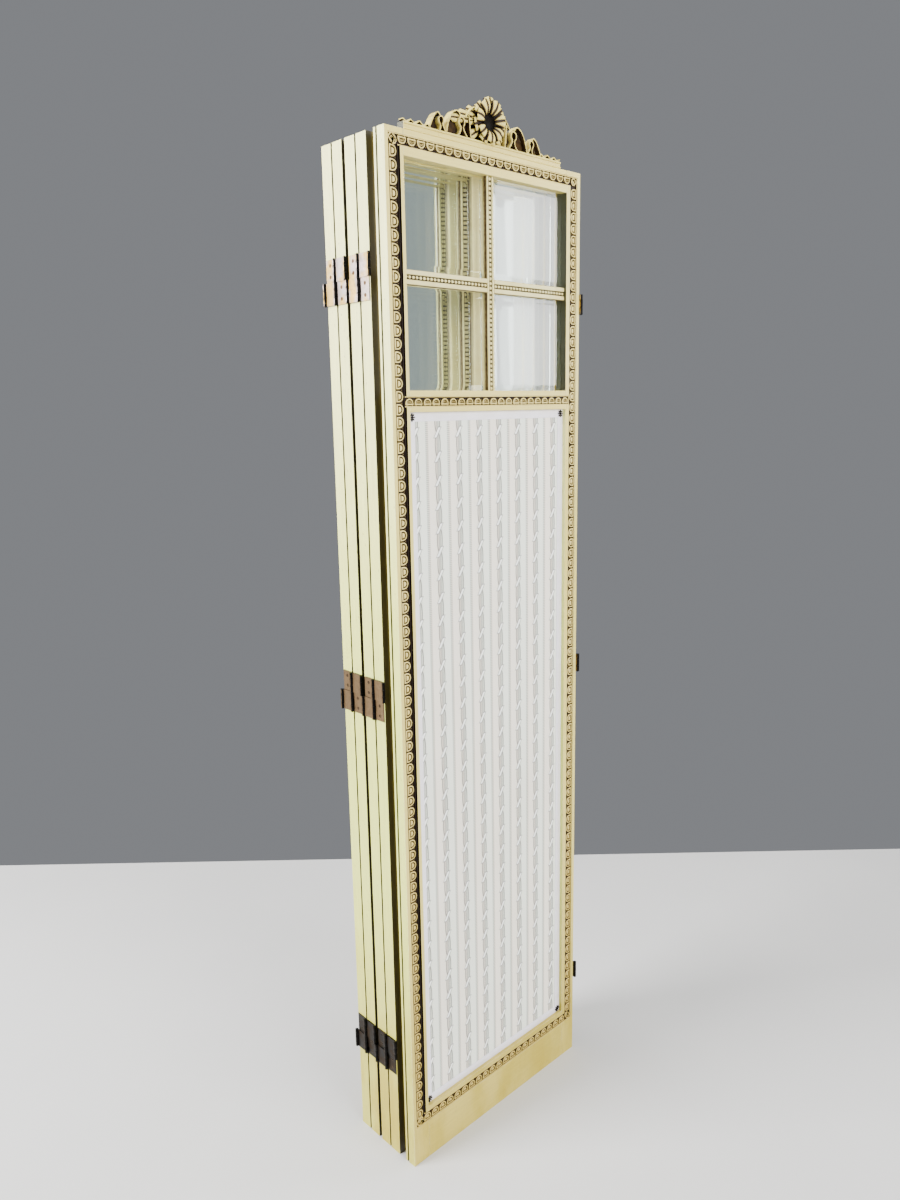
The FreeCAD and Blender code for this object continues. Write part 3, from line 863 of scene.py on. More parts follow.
def leaf_places() -> list[LeafPlace]:
    """Works out how the leaves stand from the pins of the joints between them."""
    pins = {j["name"]: Vector(j["pos_m"][:2]) for j in frame["joints"]}
    first, second, third, fourth = (pins[f"leaf{n}_fold"] for n in (1, 2, 4, 5))
    leaf4 = LeafPlace.between_pins(4, (PinSide.LEFT_BACK, PinSide.RIGHT_FRONT), (third, fourth))
    return [
        LeafPlace.on_pin(1, 0.0, PinSide.RIGHT_BACK, first),
        LeafPlace.between_pins(2, (PinSide.LEFT_BACK, PinSide.RIGHT_FRONT), (first, second)),
        LeafPlace.between_pins(3, (PinSide.LEFT_FRONT, PinSide.RIGHT_BACK), (second, third)),
        leaf4,
        LeafPlace.on_pin(5, leaf4.turn - math.pi, PinSide.LEFT_FRONT, fourth),
    ]


def own_box(node: str, place: LeafPlace) -> tuple[Vector, Vector]:
    """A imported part's corners in the front leaf's own frame, in metres."""
    low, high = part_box(node)
    shift = Vector((*place.corner, 0.0))
    return low - shift, high - shift


# ---------------------------------------------------------------- carving


@dataclass(frozen=True)
class CarvedRun:
    """One straight run of the carved moulding, from its outer edge in, in millimetres.

    The run's own frame has X along it, Y towards the leaf's opening and Z out of the face.
    """

    start: tuple[float, float]
    heading: tuple[int, int]
    inward: tuple[int, int]
    length: float
    width: float
    mitre: float
    pitch: float = 20.0
    bed: float = -6.0
    floor: float = -3.7
    crown: float = -0.7
    lip: float = 2.0

    def frame(self) -> Matrix:
        """Takes the run's own frame to the leaf's, in metres."""
        along = Vector((self.heading[0], 0, self.heading[1]))
        inward = Vector((self.inward[0], 0, self.inward[1]))
        turn = Matrix((along, inward, Vector((0, -1, 0)))).transposed().to_4x4()
        shift = Matrix.Translation(Vector((self.start[0], 0, self.start[1])) * MM)
        return shift @ turn @ Matrix.Diagonal((MM, MM, MM, 1))

    def bed_strip(self, bm: BMesh) -> None:
        """Adds the strip that the tongues stand on, with a rounded fillet along each side."""
        half = [(0.0, self.bed), (0.0, -1.4), (0.7, self.crown), (1.5, -1.2), (self.lip, self.floor)]
        section = half + [(self.width - y, z) for y, z in reversed(half)]
        near = [bm.verts.new((0.0, y, z)) for y, z in section]
        far = extruded(bm, [bm.faces.new(near)], Vector((self.length, 0, 0)))
        for vert in near:
            vert.co.x += self.mitre * vert.co.y / self.width
        for vert in far:
            vert.co.x -= self.mitre * vert.co.y / self.width
        bmesh.ops.transform(bm, matrix=self.frame(), verts=near + far)

    def tongue(self, wide: float, deep: float) -> Mesh:
        """One carved tongue: a raised rim round an egg, square at the outer edge and round at the inner."""
        bm = bmesh.new()
        bmesh.ops.create_grid(bm, x_segments=1, y_segments=1, size=0.5)
        bmesh.ops.scale(bm, vec=(wide, deep, 1), verts=bm.verts)
        tips = [v for v in bm.verts if v.co.y > 0]
        bmesh.ops.bevel(
            bm, geom=tips, offset=wide * 0.46, segments=3, profile=0.5, affect="VERTICES", material=-1
        )
        extruded(bm, bm.faces[:], Vector((0, 0, 0.6)))
        top = max(bm.faces, key=lambda f: f.calc_center_median().z)
        for thickness, rise in ((1.5, 2.5), (1.3, 0.5), (1.5, -2.8), (1.4, 2.1), (1.0, 0.7)):
            bmesh.ops.inset_individual(bm, faces=[top], thickness=thickness, depth=rise, use_even_offset=True)
        bmesh.ops.recalc_face_normals(bm, faces=bm.faces)
        bmesh.ops.translate(bm, verts=bm.verts, vec=(0, 0, self.floor - 0.5))
        return raw_mesh(bm, "tongue")

    def dart(self) -> Mesh:
        """The thin dart between two tongues."""
        bm = bmesh.new()
        bmesh.ops.create_cone(bm, cap_ends=True, segments=4, radius1=1.5, radius2=0.35, depth=2.2)
        bmesh.ops.rotate(bm, verts=bm.verts, cent=(0, 0, 0), matrix=Matrix.Rotation(math.pi / 4, 3, "Z"))
        bmesh.ops.scale(bm, verts=bm.verts, vec=(0.8, 2.6, 1))
        bmesh.ops.translate(bm, verts=bm.verts, vec=(0, 0, self.floor + 0.9))
        return raw_mesh(bm, "dart")

    def carve(self, bm: BMesh) -> None:
        """Adds the strip, its row of tongues and darts, and the leaf across its starting mitre."""
        self.bed_strip(bm)
        deep = self.width - 2 * self.lip - 0.4
        room = self.length - 2 * self.mitre * 0.92
        count = round(room / self.pitch)
        step = room / count
        tongue, dart = self.tongue(step * 0.98, deep), self.dart()
        first = (self.length - room) / 2
        for place in range(count):
            middle = first + (place + 0.5) * step
            stamp(bm, tongue, self.frame() @ Matrix.Translation((middle, self.width / 2, 0)))
            if place:
                gap = Matrix.Translation((middle - step / 2, self.width - self.lip - 4.2, 0))
                stamp(bm, dart, self.frame() @ gap)
        if self.mitre:
            corner = self.tongue(step * 0.72, deep * 1.18)
            turn = Matrix.Rotation(math.radians(-45), 4, "Z")
            middle = Matrix.Translation((self.mitre * 0.5, self.width * 0.5, 0.1))
            stamp(bm, corner, self.frame() @ middle @ turn)
            bpy.data.meshes.remove(corner)
        bpy.data.meshes.remove(tongue)
        bpy.data.meshes.remove(dart)


def stamp(bm: BMesh, shape: Mesh, place: Matrix) -> None:
    """Adds a copy of a small shape at a place."""
    copy = shape.copy()
    copy.transform(place)
    bm.from_mesh(copy)
    bpy.data.meshes.remove(copy)


@dataclass
class CarvedMoulding:
    """The carved frame let into a leaf's face: four mitred runs and a bar across under the window."""

    left: float = 7.0
    right: float = 461.0
    stile_width: float = 21.0
    slack: float = 3.0
    # painted shadow: how wide the inner lip of the left run is painted dark
    shadow_lip: float = 2.6
    foot: tuple[float, float] = (77.0, 97.5)
    bar: tuple[float, float] = (1389.0, 1406.0)
    head: tuple[float, float] = (1775.0, 1792.0)

    def runs(self) -> list[CarvedRun]:
        """The five runs, each read with the leaf's opening on its inner side."""
        height, across = self.head[1] - self.foot[0], self.right - self.left
        foot, bar, head = (z[1] - z[0] for z in (self.foot, self.bar, self.head))
        wide = self.stile_width
        return [
            CarvedRun((self.left, self.head[1]), (0, -1), (1, 0), height, wide, head),
            CarvedRun((self.right, self.foot[0]), (0, 1), (-1, 0), height, wide, foot),
            CarvedRun((self.right, self.head[1]), (-1, 0), (0, -1), across, head, wide),
            CarvedRun((self.left, self.foot[0]), (1, 0), (0, 1), across, foot, wide),
            CarvedRun((self.left + wide, self.bar[0]), (1, 0), (0, 1), across - 2 * wide, bar, 0.0),
        ]

    def shape(self) -> Mesh:
        """Carves the frame in the leaf's own place, with how high each point stands as "carve"; on the left, the
        open channel beside it gets painted shadow: a dark strip at its floor, a dark lining on its wall towards
        the opening and a darkened inner lip.
        """
        bm = bmesh.new()
        runs = self.runs()
        runs[0].carve(bm)
        left_run = len(bm.verts)
        for run in runs[1:]:
            run.carve(bm)
        inner = self.left + self.stile_width
        spans = ((self.foot[1], self.bar[0]), (self.bar[1], self.head[0]))
        # painted shadow: a dark strip laid at the floor of the open channel on the left
        for low, high in spans:
            boxed(bm, Vector((inner, 4.4, low)) * MM, Vector((inner + self.slack, 6.0, high)) * MM)
        depth = bm.verts.layers.float.new("carve")
        floor, crown = runs[0].floor * MM, runs[0].crown * MM
        for vert in bm.verts:
            vert[depth] = held((-vert.co.y - floor) / (crown - floor))
        outer = inner + self.slack
        bm.verts.ensure_lookup_table()
        # painted shadow: the left run's inner lip takes the darkest carve value
        for vert in bm.verts[:left_run]:
            if inner - self.shadow_lip < vert.co.x / MM < outer:
                vert[depth] = 0.0
        # painted shadow: a dark lining on the channel's wall towards the opening
        for low, high in spans:
            lining = boxed(bm, Vector((outer - 0.6, 0.2, low)) * MM, Vector((outer, 4.6, high)) * MM)
            for face in {face for vert in lining for face in vert.link_faces}:
                face.material_index = 1
        bmesh.ops.recalc_face_normals(bm, faces=bm.faces)
        return to_mesh(bm, "carved_moulding", 40.0)


# ---------------------------------------------------------------- glazing


@dataclass
class GlazingBars:
    """The cross of bars that divides a window into four, each with a row of pearls between two fillets."""

    low: Vector
    high: Vector
    upright: float = 17.5
    level: tuple[float, float] = (1577.0, 1600.0)
    face: float = 5.0
    back: float = 20.0
    pearl: float = 7.5

    def bar(self, bm: BMesh, length: float, width: float, place: Matrix) -> None:
        """Adds one bar with its pearls.

        Args:
            bm: the mesh being shaped.
            length: the bar's length in millimetres, along its own X.
            width: its width, along its own Y.
            place: takes the bar's own frame, with Z out of the face, to the leaf's.
        """
        edge, lip, bed = width / 2, 3.9, 3.4
        brow = -self.face - 0.2
        outer = [(-edge, -self.back), (-edge, -7.4), (1.2 - edge, brow), (-lip - 0.6, brow)]
        inner = [(-lip, -6.2), (-bed, -8.0)]
        section = outer + inner + [(-y, z) for y, z in reversed(outer + inner)]
        near = [bm.verts.new((-length / 2, y, z)) for y, z in section]
        far = extruded(bm, [bm.faces.new(near)], Vector((length, 0, 0)))
        bmesh.ops.transform(bm, matrix=place, verts=near + far)
        count = int(length / self.pearl)
        for number in range(count):
            pearl = bmesh.ops.create_uvsphere(bm, u_segments=8, v_segments=4, radius=1.0)["verts"]
            bmesh.ops.scale(bm, verts=pearl, vec=(self.pearl * 0.44, 2.9, 2.4))
            middle = ((number + 0.5) / count - 0.5) * length
            bmesh.ops.translate(bm, verts=pearl, vec=(middle, 0, -7.4))
            bmesh.ops.transform(bm, matrix=place, verts=pearl)

    def shape(self) -> Mesh:
        """Builds the cross in the leaf's own place."""
        bm = bmesh.new()
        centre = (self.low.x + self.high.x) / 2
        middle = (self.low.z + self.high.z) / 2
        level = sum(self.level) / 2 * MM
        scale = Matrix.Diagonal((MM, MM, MM, 1))
        flat = Matrix(((1, 0, 0), (0, 0, -1), (0, 1, 0))).to_4x4()
        tall = Matrix(((0, 1, 0), (0, 0, -1), (-1, 0, 0))).to_4x4()
        height = (self.high.z - self.low.z) / MM
        arm = ((self.high.x - self.low.x) / MM - self.upright) / 2
        self.bar(bm, height, self.upright, Matrix.Translation((centre, 0, middle)) @ tall @ scale)
        for side in (-1, 1):
            reach = side * (self.upright + arm) / 2 * MM
            place = Matrix.Translation((centre + reach, 0, level)) @ flat @ scale
            self.bar(bm, arm, self.level[1] - self.level[0], place)
        bmesh.ops.recalc_face_normals(bm, faces=bm.faces)
        # partly painted shade: the bars darken with depth through the carve attribute, like the carving
        depth = bm.verts.layers.float.new("carve")
        for vert in bm.verts:
            vert[depth] = held((-vert.co.y / MM + 8.2) / 3.0) if vert.co.y < 9 * MM else 0.7
        return to_mesh(bm, "glazing_bars", 40.0)


# ---------------------------------------------------------------- cloth panel


@dataclass
class ClothPanel:
    """A board with striped cloth stretched over each face, and a ribbon round the front."""

    low: Vector
    high: Vector
    ribbon: float = 15.0
    board_inset: float = 0.6

    def size(self) -> tuple[float, float]:
        """The panel's width and height in metres."""
        return self.high.x - self.low.x, self.high.z - self.low.z

    def cloth(self, back: bool) -> Mesh:
        """One stretched sheet, very slightly crowned, with its UV map in metres.

        Args:
            back: whether it is the sheet on the leaf's back.

        Returns:
            The sheet's mesh, in the leaf's own place.
        """
        bm = bmesh.new()
        wide, tall = self.size()
        bmesh.ops.create_grid(bm, x_segments=28, y_segments=84, size=0.5)
        chart = bm.loops.layers.uv.new("cloth")
        for face in bm.faces:
            for loop in face.loops:
                loop[chart].uv = ((loop.vert.co.x + 0.5) * wide, (loop.vert.co.y + 0.5) * tall)
        for vert in bm.verts:
            right, up = vert.co.x * 2, vert.co.y * 2
            crown = (1 - right**6) * (1 - up**12) * 0.7
            tug = 0.12 * math.sin(up * 61) * right**4 + 0.1 * math.sin(right * 23) * up**8
            vert.co.z = (crown + tug) * MM
        bmesh.ops.scale(bm, verts=bm.verts, vec=(wide, tall, 1))
        bmesh.ops.rotate(bm, verts=bm.verts, cent=(0, 0, 0), matrix=Matrix.Rotation(math.pi / 2, 3, "X"))
        if back:
            bmesh.ops.rotate(bm, verts=bm.verts, cent=(0, 0, 0), matrix=Matrix.Rotation(math.pi, 3, "Z"))
        centre = (self.low + self.high) / 2
        face = self.high.y - 0.9 * MM if back else self.low.y + 0.9 * MM
        bmesh.ops.translate(bm, verts=bm.verts, vec=(centre.x, face, centre.z))
        return to_mesh(bm, "cloth", 60.0)

    def ribbon_frame(self) -> Mesh:
        """The flat ribbon round the front, mitred at its corners."""
        bm = bmesh.new()
        bmesh.ops.create_grid(bm, x_segments=1, y_segments=1, size=0.5)
        bmesh.ops.scale(bm, verts=bm.verts, vec=(*self.size(), 1))
        middle = bm.faces[:][0]
        bmesh.ops.inset_individual(bm, faces=[middle], thickness=self.ribbon * MM, use_even_offset=True)
        bmesh.ops.delete(bm, geom=[middle], context="FACES")
        extruded(bm, bm.faces[:], Vector((0, 0, 0.9 * MM)))
        bmesh.ops.recalc_face_normals(bm, faces=bm.faces)
        sharp = [e for e in bm.edges if e.calc_face_angle(0.0) > 1.0]
        eased(bm, sharp, 0.35 * MM)
        bmesh.ops.rotate(bm, verts=bm.verts, cent=(0, 0, 0), matrix=Matrix.Rotation(math.pi / 2, 3, "X"))
        centre = (self.low + self.high) / 2
        bmesh.ops.translate(bm, verts=bm.verts, vec=(centre.x, self.low.y + 0.6 * MM, centre.z))
        return to_mesh(bm, "ribbon", 50.0)

    def board(self) -> Mesh:
        """The board between the two cloths."""
        bm = bmesh.new()
        inset = Vector((self.board_inset, 2.0, self.board_inset)) * MM
        boxed(bm, self.low + inset, self.high - inset)
        eased(bm, bm.edges[:], 1.0 * MM)
        return to_mesh(bm, "board")


@dataclass
class CornerRosettes:
    """Four small openwork flowers pinned at the corners of the cloth."""

    low: Vector
    high: Vector
    inset: float = 8.0
    radius: float = 7.4
    petals: int = 8

    def flower(self, bm: BMesh, place: Matrix) -> None:
        """Adds one flower of separate petals round a domed boss."""
        for number in range(self.petals):
            petal = bmesh.ops.create_uvsphere(bm, u_segments=6, v_segments=4, radius=1.0)["verts"]
            bmesh.ops.scale(bm, verts=petal, vec=(2.6 * MM, 1.4 * MM, 1.5 * MM))
            bmesh.ops.translate(bm, verts=petal, vec=(self.radius * 0.64 * MM, 0, 0.9 * MM))
            turn = Matrix.Rotation(2 * math.pi * number / self.petals, 4, "Z")
            bmesh.ops.transform(bm, matrix=place @ turn, verts=petal)
        boss = bmesh.ops.create_uvsphere(bm, u_segments=10, v_segments=6, radius=2.2 * MM)["verts"]
        bmesh.ops.translate(bm, verts=boss, vec=(0, 0, 1.0 * MM))
        bmesh.ops.transform(bm, matrix=place, verts=boss)

    def shape(self) -> Mesh:
        """Builds the four flowers in the leaf's own place."""
        bm = bmesh.new()
        inset = self.inset * MM
        out = Matrix.Rotation(math.pi / 2, 4, "X")
        for across in (self.low.x + inset, self.high.x - inset):
            for up in (self.low.z + inset, self.high.z - inset):
                self.flower(bm, Matrix.Translation((across, self.low.y - 0.4 * MM, up)) @ out)
        return to_mesh(bm, "rosettes", 60.0)


# ---------------------------------------------------------------- the leaves


@dataclass
class Leaf:
    """One leaf of the screen with everything that rides on it."""

    place: LeafPlace
    shapes: dict[str, Mesh]
    cloth_size: tuple[float, float]

    def node(self, part: str) -> str:
        """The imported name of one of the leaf's parts."""
        return f"{self.place.body}_{part}"

    def put(self, part: str, shape: str, nodes: list[str], finishes: list[Finish]) -> Object:
        """Sets a copy of a shared shape in the leaf's place.

        Args:
            part: what the piece is called on this leaf.
            shape: which of the shared shapes it is.
            nodes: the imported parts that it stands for, without the leaf's name.
            finishes: its finishes.

        Returns:
            The piece.
        """
        mesh = self.shapes[shape].copy()
        mesh.name = self.node(part)
        mesh.transform(self.place.matrix)
        return set_piece(self.node(part), mesh, self.place.body, [self.node(n) for n in nodes], finishes)

    def frame_work(self) -> None:
        """Paints the stiles and rails."""
        upright = CreamPaint("cream_paint_upright", Run.UPRIGHT)
        level = CreamPaint("cream_paint_level", Run.LEVEL)
        for part, finish in (("left_stile", upright), ("right_stile", upright), ("rails", level)):
            dress_node(self.node(part), finish, WOOD_EDGE * MM)

    def carving(self) -> None:
        """Sets the carved moulding, with painted shadow in its open channel, and the glazing bars."""
        # painted shadow: a near-black finish for the lining in the moulding's channel
        lining = PaintedHollowShade("painted_channel_shadow", rubbed=paint(34, 24, 12), wear=0.0)
        glaze = CarvedGlaze("carved_glaze")
        self.put("carving", "moulding", ["carved_moulding"], [glaze, lining])
        bars = CarvedGlaze("bar_glaze", crown=paint(222, 212, 150), dark_below=0.3, light_above=0.7)
        self.put("bars", "bars", ["glazing_bars"], [bars])

    def glass(self) -> None:
        """Glazes the window."""
        dress_node(self.node("glass_panes"), BevelledGlass())

    def panel(self) -> None:
        """Covers the lower panel: the board, a cloth on each face, the ribbon and the rosettes."""
        ribbon = self.put("ribbon", "ribbon", [], [SatinRibbon()])
        board = self.put("core_board", "board", ["fabric_panel"], [CoreBoard()])
        self.put("rosettes", "rosettes", ["corner_rosettes"], [DarkBronze()])
        for name, extras in (("front_cloth", [ribbon]), ("back_cloth", [])):
            cloth = self.put(name, name, [], [WovenStripe()])
            thicken(cloth, CLOTH_THICK * MM)

    def hinges(self) -> None:
        """Gives the hinges on this leaf their aged brass."""
        plate = AgedBrass("hinge_brass")
        fixing = AgedBrass(
            "fixing_brass", paint(120, 84, 46), paint(62, 44, 30), paint(12, 9, 7), pale=paint(96, 70, 48)
        )
        parts = (
            ("hinge_plates", plate, PLATE_EDGE),
            ("hinge_links", plate, PLATE_EDGE),
            ("hinge_fixings", fixing, PIN_EDGE),
        )
        for part, finish, width in parts:
            if self.node(part) in frame["nodes"]:
                dress_node(self.node(part), finish, width * MM)

    def build(self) -> None:
        """Dresses the whole leaf."""
        self.frame_work()
        self.carving()
        self.glass()
        self.panel()
        self.hinges()


# ---------------------------------------------------------------- the crest


@dataclass
class Crest:
    """The carved bow on the front leaf: a hollow flower with ribbons standing on edge to both sides.

    Its lines are (across, up) points in millimetres from the middle of the leaf's top, for the right side.
    """

    low: Vector
    high: Vector
    front: float = 8.0
    back: float = 21.0
    flower_up: float = 45.0
    cup: float = 14.5
    rings: tuple = ((7, 0.5, 12.5, 22.0, 25.0, 6.0), (7, 0.0, 12.0, 26.0, 27.0, 12.0))
    leaves: tuple = ((92.0, 34.0, 20.0), (124.0, 32.0, 20.0))
    folds: tuple = ((52.0, 22.0, 20.0), (72.0, 34.0, 22.0), (86.0, 52.0, 21.0), (93.0, 72.0, 18.0))
    keyholes: tuple = (
        ((49, 14), (54, 20), (58, 27), (55, 33), (57, 41), (63, 43), (69, 39),
         (69, 32), (65, 26), (68, 18), (73, 14)),
        ((98, 14), (101, 19), (104, 24), (102, 29), (104, 35), (109, 36),
         (114, 32), (113, 26), (110, 21), (112, 14)),
    )
    flanks: tuple = (
        ((10, 58), (22, 65), (36, 62), (47, 53), (53, 44)),
        ((64, 45), (70, 51), (79, 49), (87, 41), (93, 29), (97, 14)),
        ((109, 37), (114, 41), (121, 37), (128, 27), (134, 15)),
    )
    board_half: float = 187.5
    beads: tuple = ((3.2, 2.2, 1.4), (11.0, 3.0, 2.0))
    slit: tuple = ((45, 50), (43, 38), (42, 26), (40, 14))
    tail: tuple = ((129, 15), (136, 20), (144, 16), (153, 21), (162, 16), (171, 20), (179, 16), (187, 19))
    skyline: tuple = (
        (187, 14), (150, 15), (132, 15), (122, 30), (113, 36), (104, 32), (98, 20), (90, 32), (78, 45), (66, 45),
        (56, 40), (47, 48), (34, 58), (20, 62), (0, 70),
    )

    def middle(self) -> Vector:
        """The middle of the leaf's top in the leaf's own frame, in metres."""
        return Vector(((self.low.x + self.high.x) / 2, 0.0, self.low.z))

    def finished(self, bm: BMesh, name: str, crease: float) -> Mesh:
        """Moves a shape from the crest's own middle to its place on the leaf, and closes it."""
        bmesh.ops.translate(bm, verts=bm.verts, vec=self.middle())
        return to_mesh(bm, name, crease)

    def band(
        self, bm: BMesh, points: tuple, side: int, front: float, back: float, outward: bool = True
    ) -> None:
        """Adds a ribbon standing on edge, with its cream face turned up or out from the middle and its back in
        painted shade.

        Args:
            bm: the mesh being shaped.
            points: the ribbon's line.
            side: 1 for the right side and -1 for the left.
            front: how far in from the leaf's face its front edge is.
            back: how far in its back edge is.
            outward: whether the cream face looks outward; its dark face, which is painted shade, does otherwise.
        """
        line = smooth_path(list(points))
        verts = [bm.verts.new((side * p.x, front * MM, p.y)) for p in line]
        edges = [bm.edges.new(pair) for pair in zip(verts, verts[1:])]
        made, steps = [], 3
        for _ in range(steps):
            grown = bmesh.ops.extrude_edge_only(bm, edges=edges)["geom"]
            edges = [g for g in grown if isinstance(g, BMEdge) and len(g.link_faces) < 2]
            edges = [e for e in edges if all(v in grown for v in e.verts)]
            new = [g for g in grown if isinstance(g, BMVert)]
            bmesh.ops.translate(bm, verts=new, vec=(0, (back - front) / steps * MM, 0))
            made += [g for g in grown if isinstance(g, BMFace)]
        bmesh.ops.recalc_face_normals(bm, faces=made)
        faces_out = sum((f.normal.z + side * f.normal.x) * f.calc_area() for f in made) > 0
        if faces_out != outward:
            bmesh.ops.reverse_faces(bm, faces=made)

    def ribbons(self) -> Mesh:
        """The ribbons of the bow as strips with one face, which get their thickness later."""
        bm = bmesh.new()
        for side in (1, -1):
            for keyhole in self.keyholes:
                self.band(bm, keyhole, side, self.front - 0.5, self.back - 3)
            for flank in self.flanks:
                self.band(bm, flank, side, self.front, self.back)
            # painted shadow: the slit turns its dark face outward
            self.band(bm, self.slit, side, self.front, self.back - 4, outward=False)
            self.band(bm, self.tail, side, self.front + 1.5, self.back - 2)
        depth = bm.verts.layers.float.new("carve")
        for vert in bm.verts:
            ripple = math.sin(vert.co.x * 520) * math.sin(vert.co.z * 610)
            vert[depth] = 0.86 + 0.16 * ripple
        return self.finished(bm, "crest_ribbons", 60.0)

    def petal(self, bm: BMesh, size: tuple[float, float], place: Matrix) -> None:
        """Adds one fluted petal, with painted shade in its grooves, at its edges and towards its base.

        Args:
            bm: the mesh being shaped, with its "carve" layer.
            size: the petal's length and width in millimetres.
            place: takes its own frame, with Y along it and Z out of its face, to the leaf's.
        """
        depth = bm.verts.layers.float["carve"]
        made = bmesh.ops.create_grid(bm, x_segments=8, y_segments=7, size=0.5)["verts"]
        for vert in made:
            across, along = vert.co.x * 2, vert.co.y + 0.5
            spread = 0.34 + 0.66 * along**0.8 - 0.3 * max(0.0, along - 0.8)
            flute = -math.cos(across * 2 * math.pi)
            tip = along - 0.2 * across**2 * along
            rise = 5.0 * math.sin(math.pi * (0.1 + 0.8 * along)) + 1.0 * flute * along - 2.4 * across**2
            vert.co = Vector((across * size[1] / 2 * spread, tip * size[0], rise)) * MM
            # painted shade: darker in each petal's grooves, at its edges and towards its base
            flute_lit = 0.5 + 0.5 * flute - 0.55 * max(0.0, abs(across) - 0.8) / 0.2
            vert[depth] = held((0.16 + 1.1 * flute_lit) * (0.5 + 0.8 * along))
        bmesh.ops.transform(bm, matrix=place, verts=made)

    def flower(self) -> Mesh:
        """Two rings of petals round the hollow, longest at the top where they spread like a shell."""
        bm = bmesh.new()
        bm.verts.layers.float.new("carve")
        out = Matrix.Rotation(math.pi / 2, 4, "X")
        centre = Matrix.Translation((0, 0, self.flower_up * MM)) @ out
        for count, shift, inner, length, wide, depth in self.rings:
            for number in range(count):
                angle = 2 * math.pi * (number + shift) / count
                reach = length + 2.0 * math.cos(angle)
                turn = Matrix.Rotation(-angle, 4, "Z")
                lean = Matrix.Rotation(math.radians(14), 4, "X")
                start = Matrix.Translation((0, inner * MM, -depth * MM))
                self.petal(bm, (reach, wide), centre @ turn @ start @ lean)
        for side in (-1, 1):
            for angle, length, wide in self.leaves + (self.folds if side < 0 else ()):
                turn = Matrix.Rotation(-side * math.radians(angle), 4, "Z")
                self.petal(bm, (length, wide), centre @ turn @ Matrix.Translation((0, 14 * MM, -15 * MM)))
        return self.finished(bm, "crest_flower", 60.0)

    def hollows(self) -> Mesh:
        """The cup in the flower's middle, open to the front, which is painted near-black as shade."""
        bm = bmesh.new()
        bmesh.ops.create_uvsphere(bm, u_segments=20, v_segments=12, radius=self.cup * MM)
        whole = bm.verts[:] + bm.edges[:] + bm.faces[:]
        bmesh.ops.bisect_plane(bm, geom=whole, plane_co=(0, 0, 0), plane_no=(0, -1, 0), clear_outer=True)
        bmesh.ops.scale(bm, verts=bm.verts, vec=(0.92, 0.7, 1.12))
        bmesh.ops.reverse_faces(bm, faces=bm.faces)
        bmesh.ops.translate(bm, verts=bm.verts, vec=(0, (self.front - 4.0) * MM, self.flower_up * MM))
        return self.finished(bm, "crest_cup", 60.0)

    def backing(self) -> Mesh:
        """The plate behind the ribbons, its front in painted shade."""
        bm = bmesh.new()
        half = smooth_path(list(self.skyline), 3)
        line = half + [Vector((-p.x, p.y)) for p in reversed(half[:-1])]
        ring = [bm.verts.new((p.x, self.back * MM, p.y)) for p in line]
        ring += [bm.verts.new((side * 187 * MM, self.back * MM, 12.5 * MM)) for side in (-1, 1)]
        extruded(bm, [bm.faces.new(ring)], Vector((0, -4.0 * MM, 0)))
        bmesh.ops.recalc_face_normals(bm, faces=bm.faces)
        # painted shade: the front face takes the dark finish
        for face in bm.faces:
            face.material_index = 1 if face.normal.y < -0.5 else 0
        depth = bm.verts.layers.float.new("carve")
        for vert in bm.verts:
            vert[depth] = 0.85
        return self.finished(bm, "crest_backing", 40.0)

    def bead(self) -> Mesh:
        """The two moulded lines along the front of the board under the bow."""
        bm = bmesh.new()
        depth = bm.verts.layers.float.new("carve")
        for up, tall, proud in self.beads:
            low = Vector((-self.board_half, 9.0 - proud, up)) * MM
            made = boxed(bm, low, Vector((self.board_half, 9.4, up + tall)) * MM)
            edges = {e for v in made for e in v.link_edges}
            front = [e for e in edges if all(v.co.y < 9.0 * MM for v in e.verts)]
            eased(bm, front, tall * 0.4 * MM, 3)
        # painted shade: the beads turn dark where they meet the board
        for vert in bm.verts:
            vert[depth] = 0.95 if vert.co.y < 8.9 * MM else 0.2
        return self.finished(bm, "crest_bead", 50.0)

    def build(self, place: LeafPlace) -> None:
        """Sets the bow's pieces on the front leaf."""
        light = CarvedGlaze("crest_glaze", crown=paint(224, 208, 116), slope=paint(128, 98, 34))
        # painted shade: the dark finish goes on the ribbons' and petals' backs and on the backing's front
        dark = PaintedHollowShade()
        # painted shade: a near-black finish for the flower's cup
        black = PaintedHollowShade("painted_cup_shadow", paint(12, 8, 3), paint(26, 18, 8), 0.0)
        pieces = (
            ("crest_backing", self.backing(), ["crest"], [light, dark], 0.0),
            ("crest_ribbons", self.ribbons(), [], [light, dark], 1.8),
            ("crest_flower", self.flower(), [], [light, dark], 1.3),
            ("crest_bead", self.bead(), [], [light], 0.0),
            ("crest_cup", self.hollows(), [], [black, black], 1.0),
        )
        for name, mesh, nodes, finishes, wall in pieces:
            mesh.transform(place.matrix)
            piece = set_piece(name, mesh, place.body, nodes, finishes)
            if wall:
                thicken(piece, wall * MM, 1)
        dress_node("crest_base", CreamPaint("cream_paint_level", Run.LEVEL), CREST_EDGE * MM)


# ---------------------------------------------------------------- the studio


@dataclass(frozen=True)
class Lamp:
    """A soft rectangular light."""

    name: str
    place: tuple[float, float, float]
    target: tuple[float, float, float]
    size: tuple[float, float]
    power: float
    tint: Colour = (1.0, 1.0, 1.0)

    def set_up(self) -> None:
        """Hangs the light and turns it to its target."""
        data = bpy.data.lights.new(self.name, "AREA")
        data.shape = "RECTANGLE"
        data.size, data.size_y = self.size
        data.energy = self.power
        data.color = self.tint
        lamp = bpy.data.objects.new(self.name, data)
        lamp.location = self.place
        aim = Vector(self.target) - Vector(self.place)
        lamp.rotation_mode = "QUATERNION"
        lamp.rotation_quaternion = aim.to_track_quat("-Z", "Y")
        bpy.context.scene.collection.objects.link(lamp)


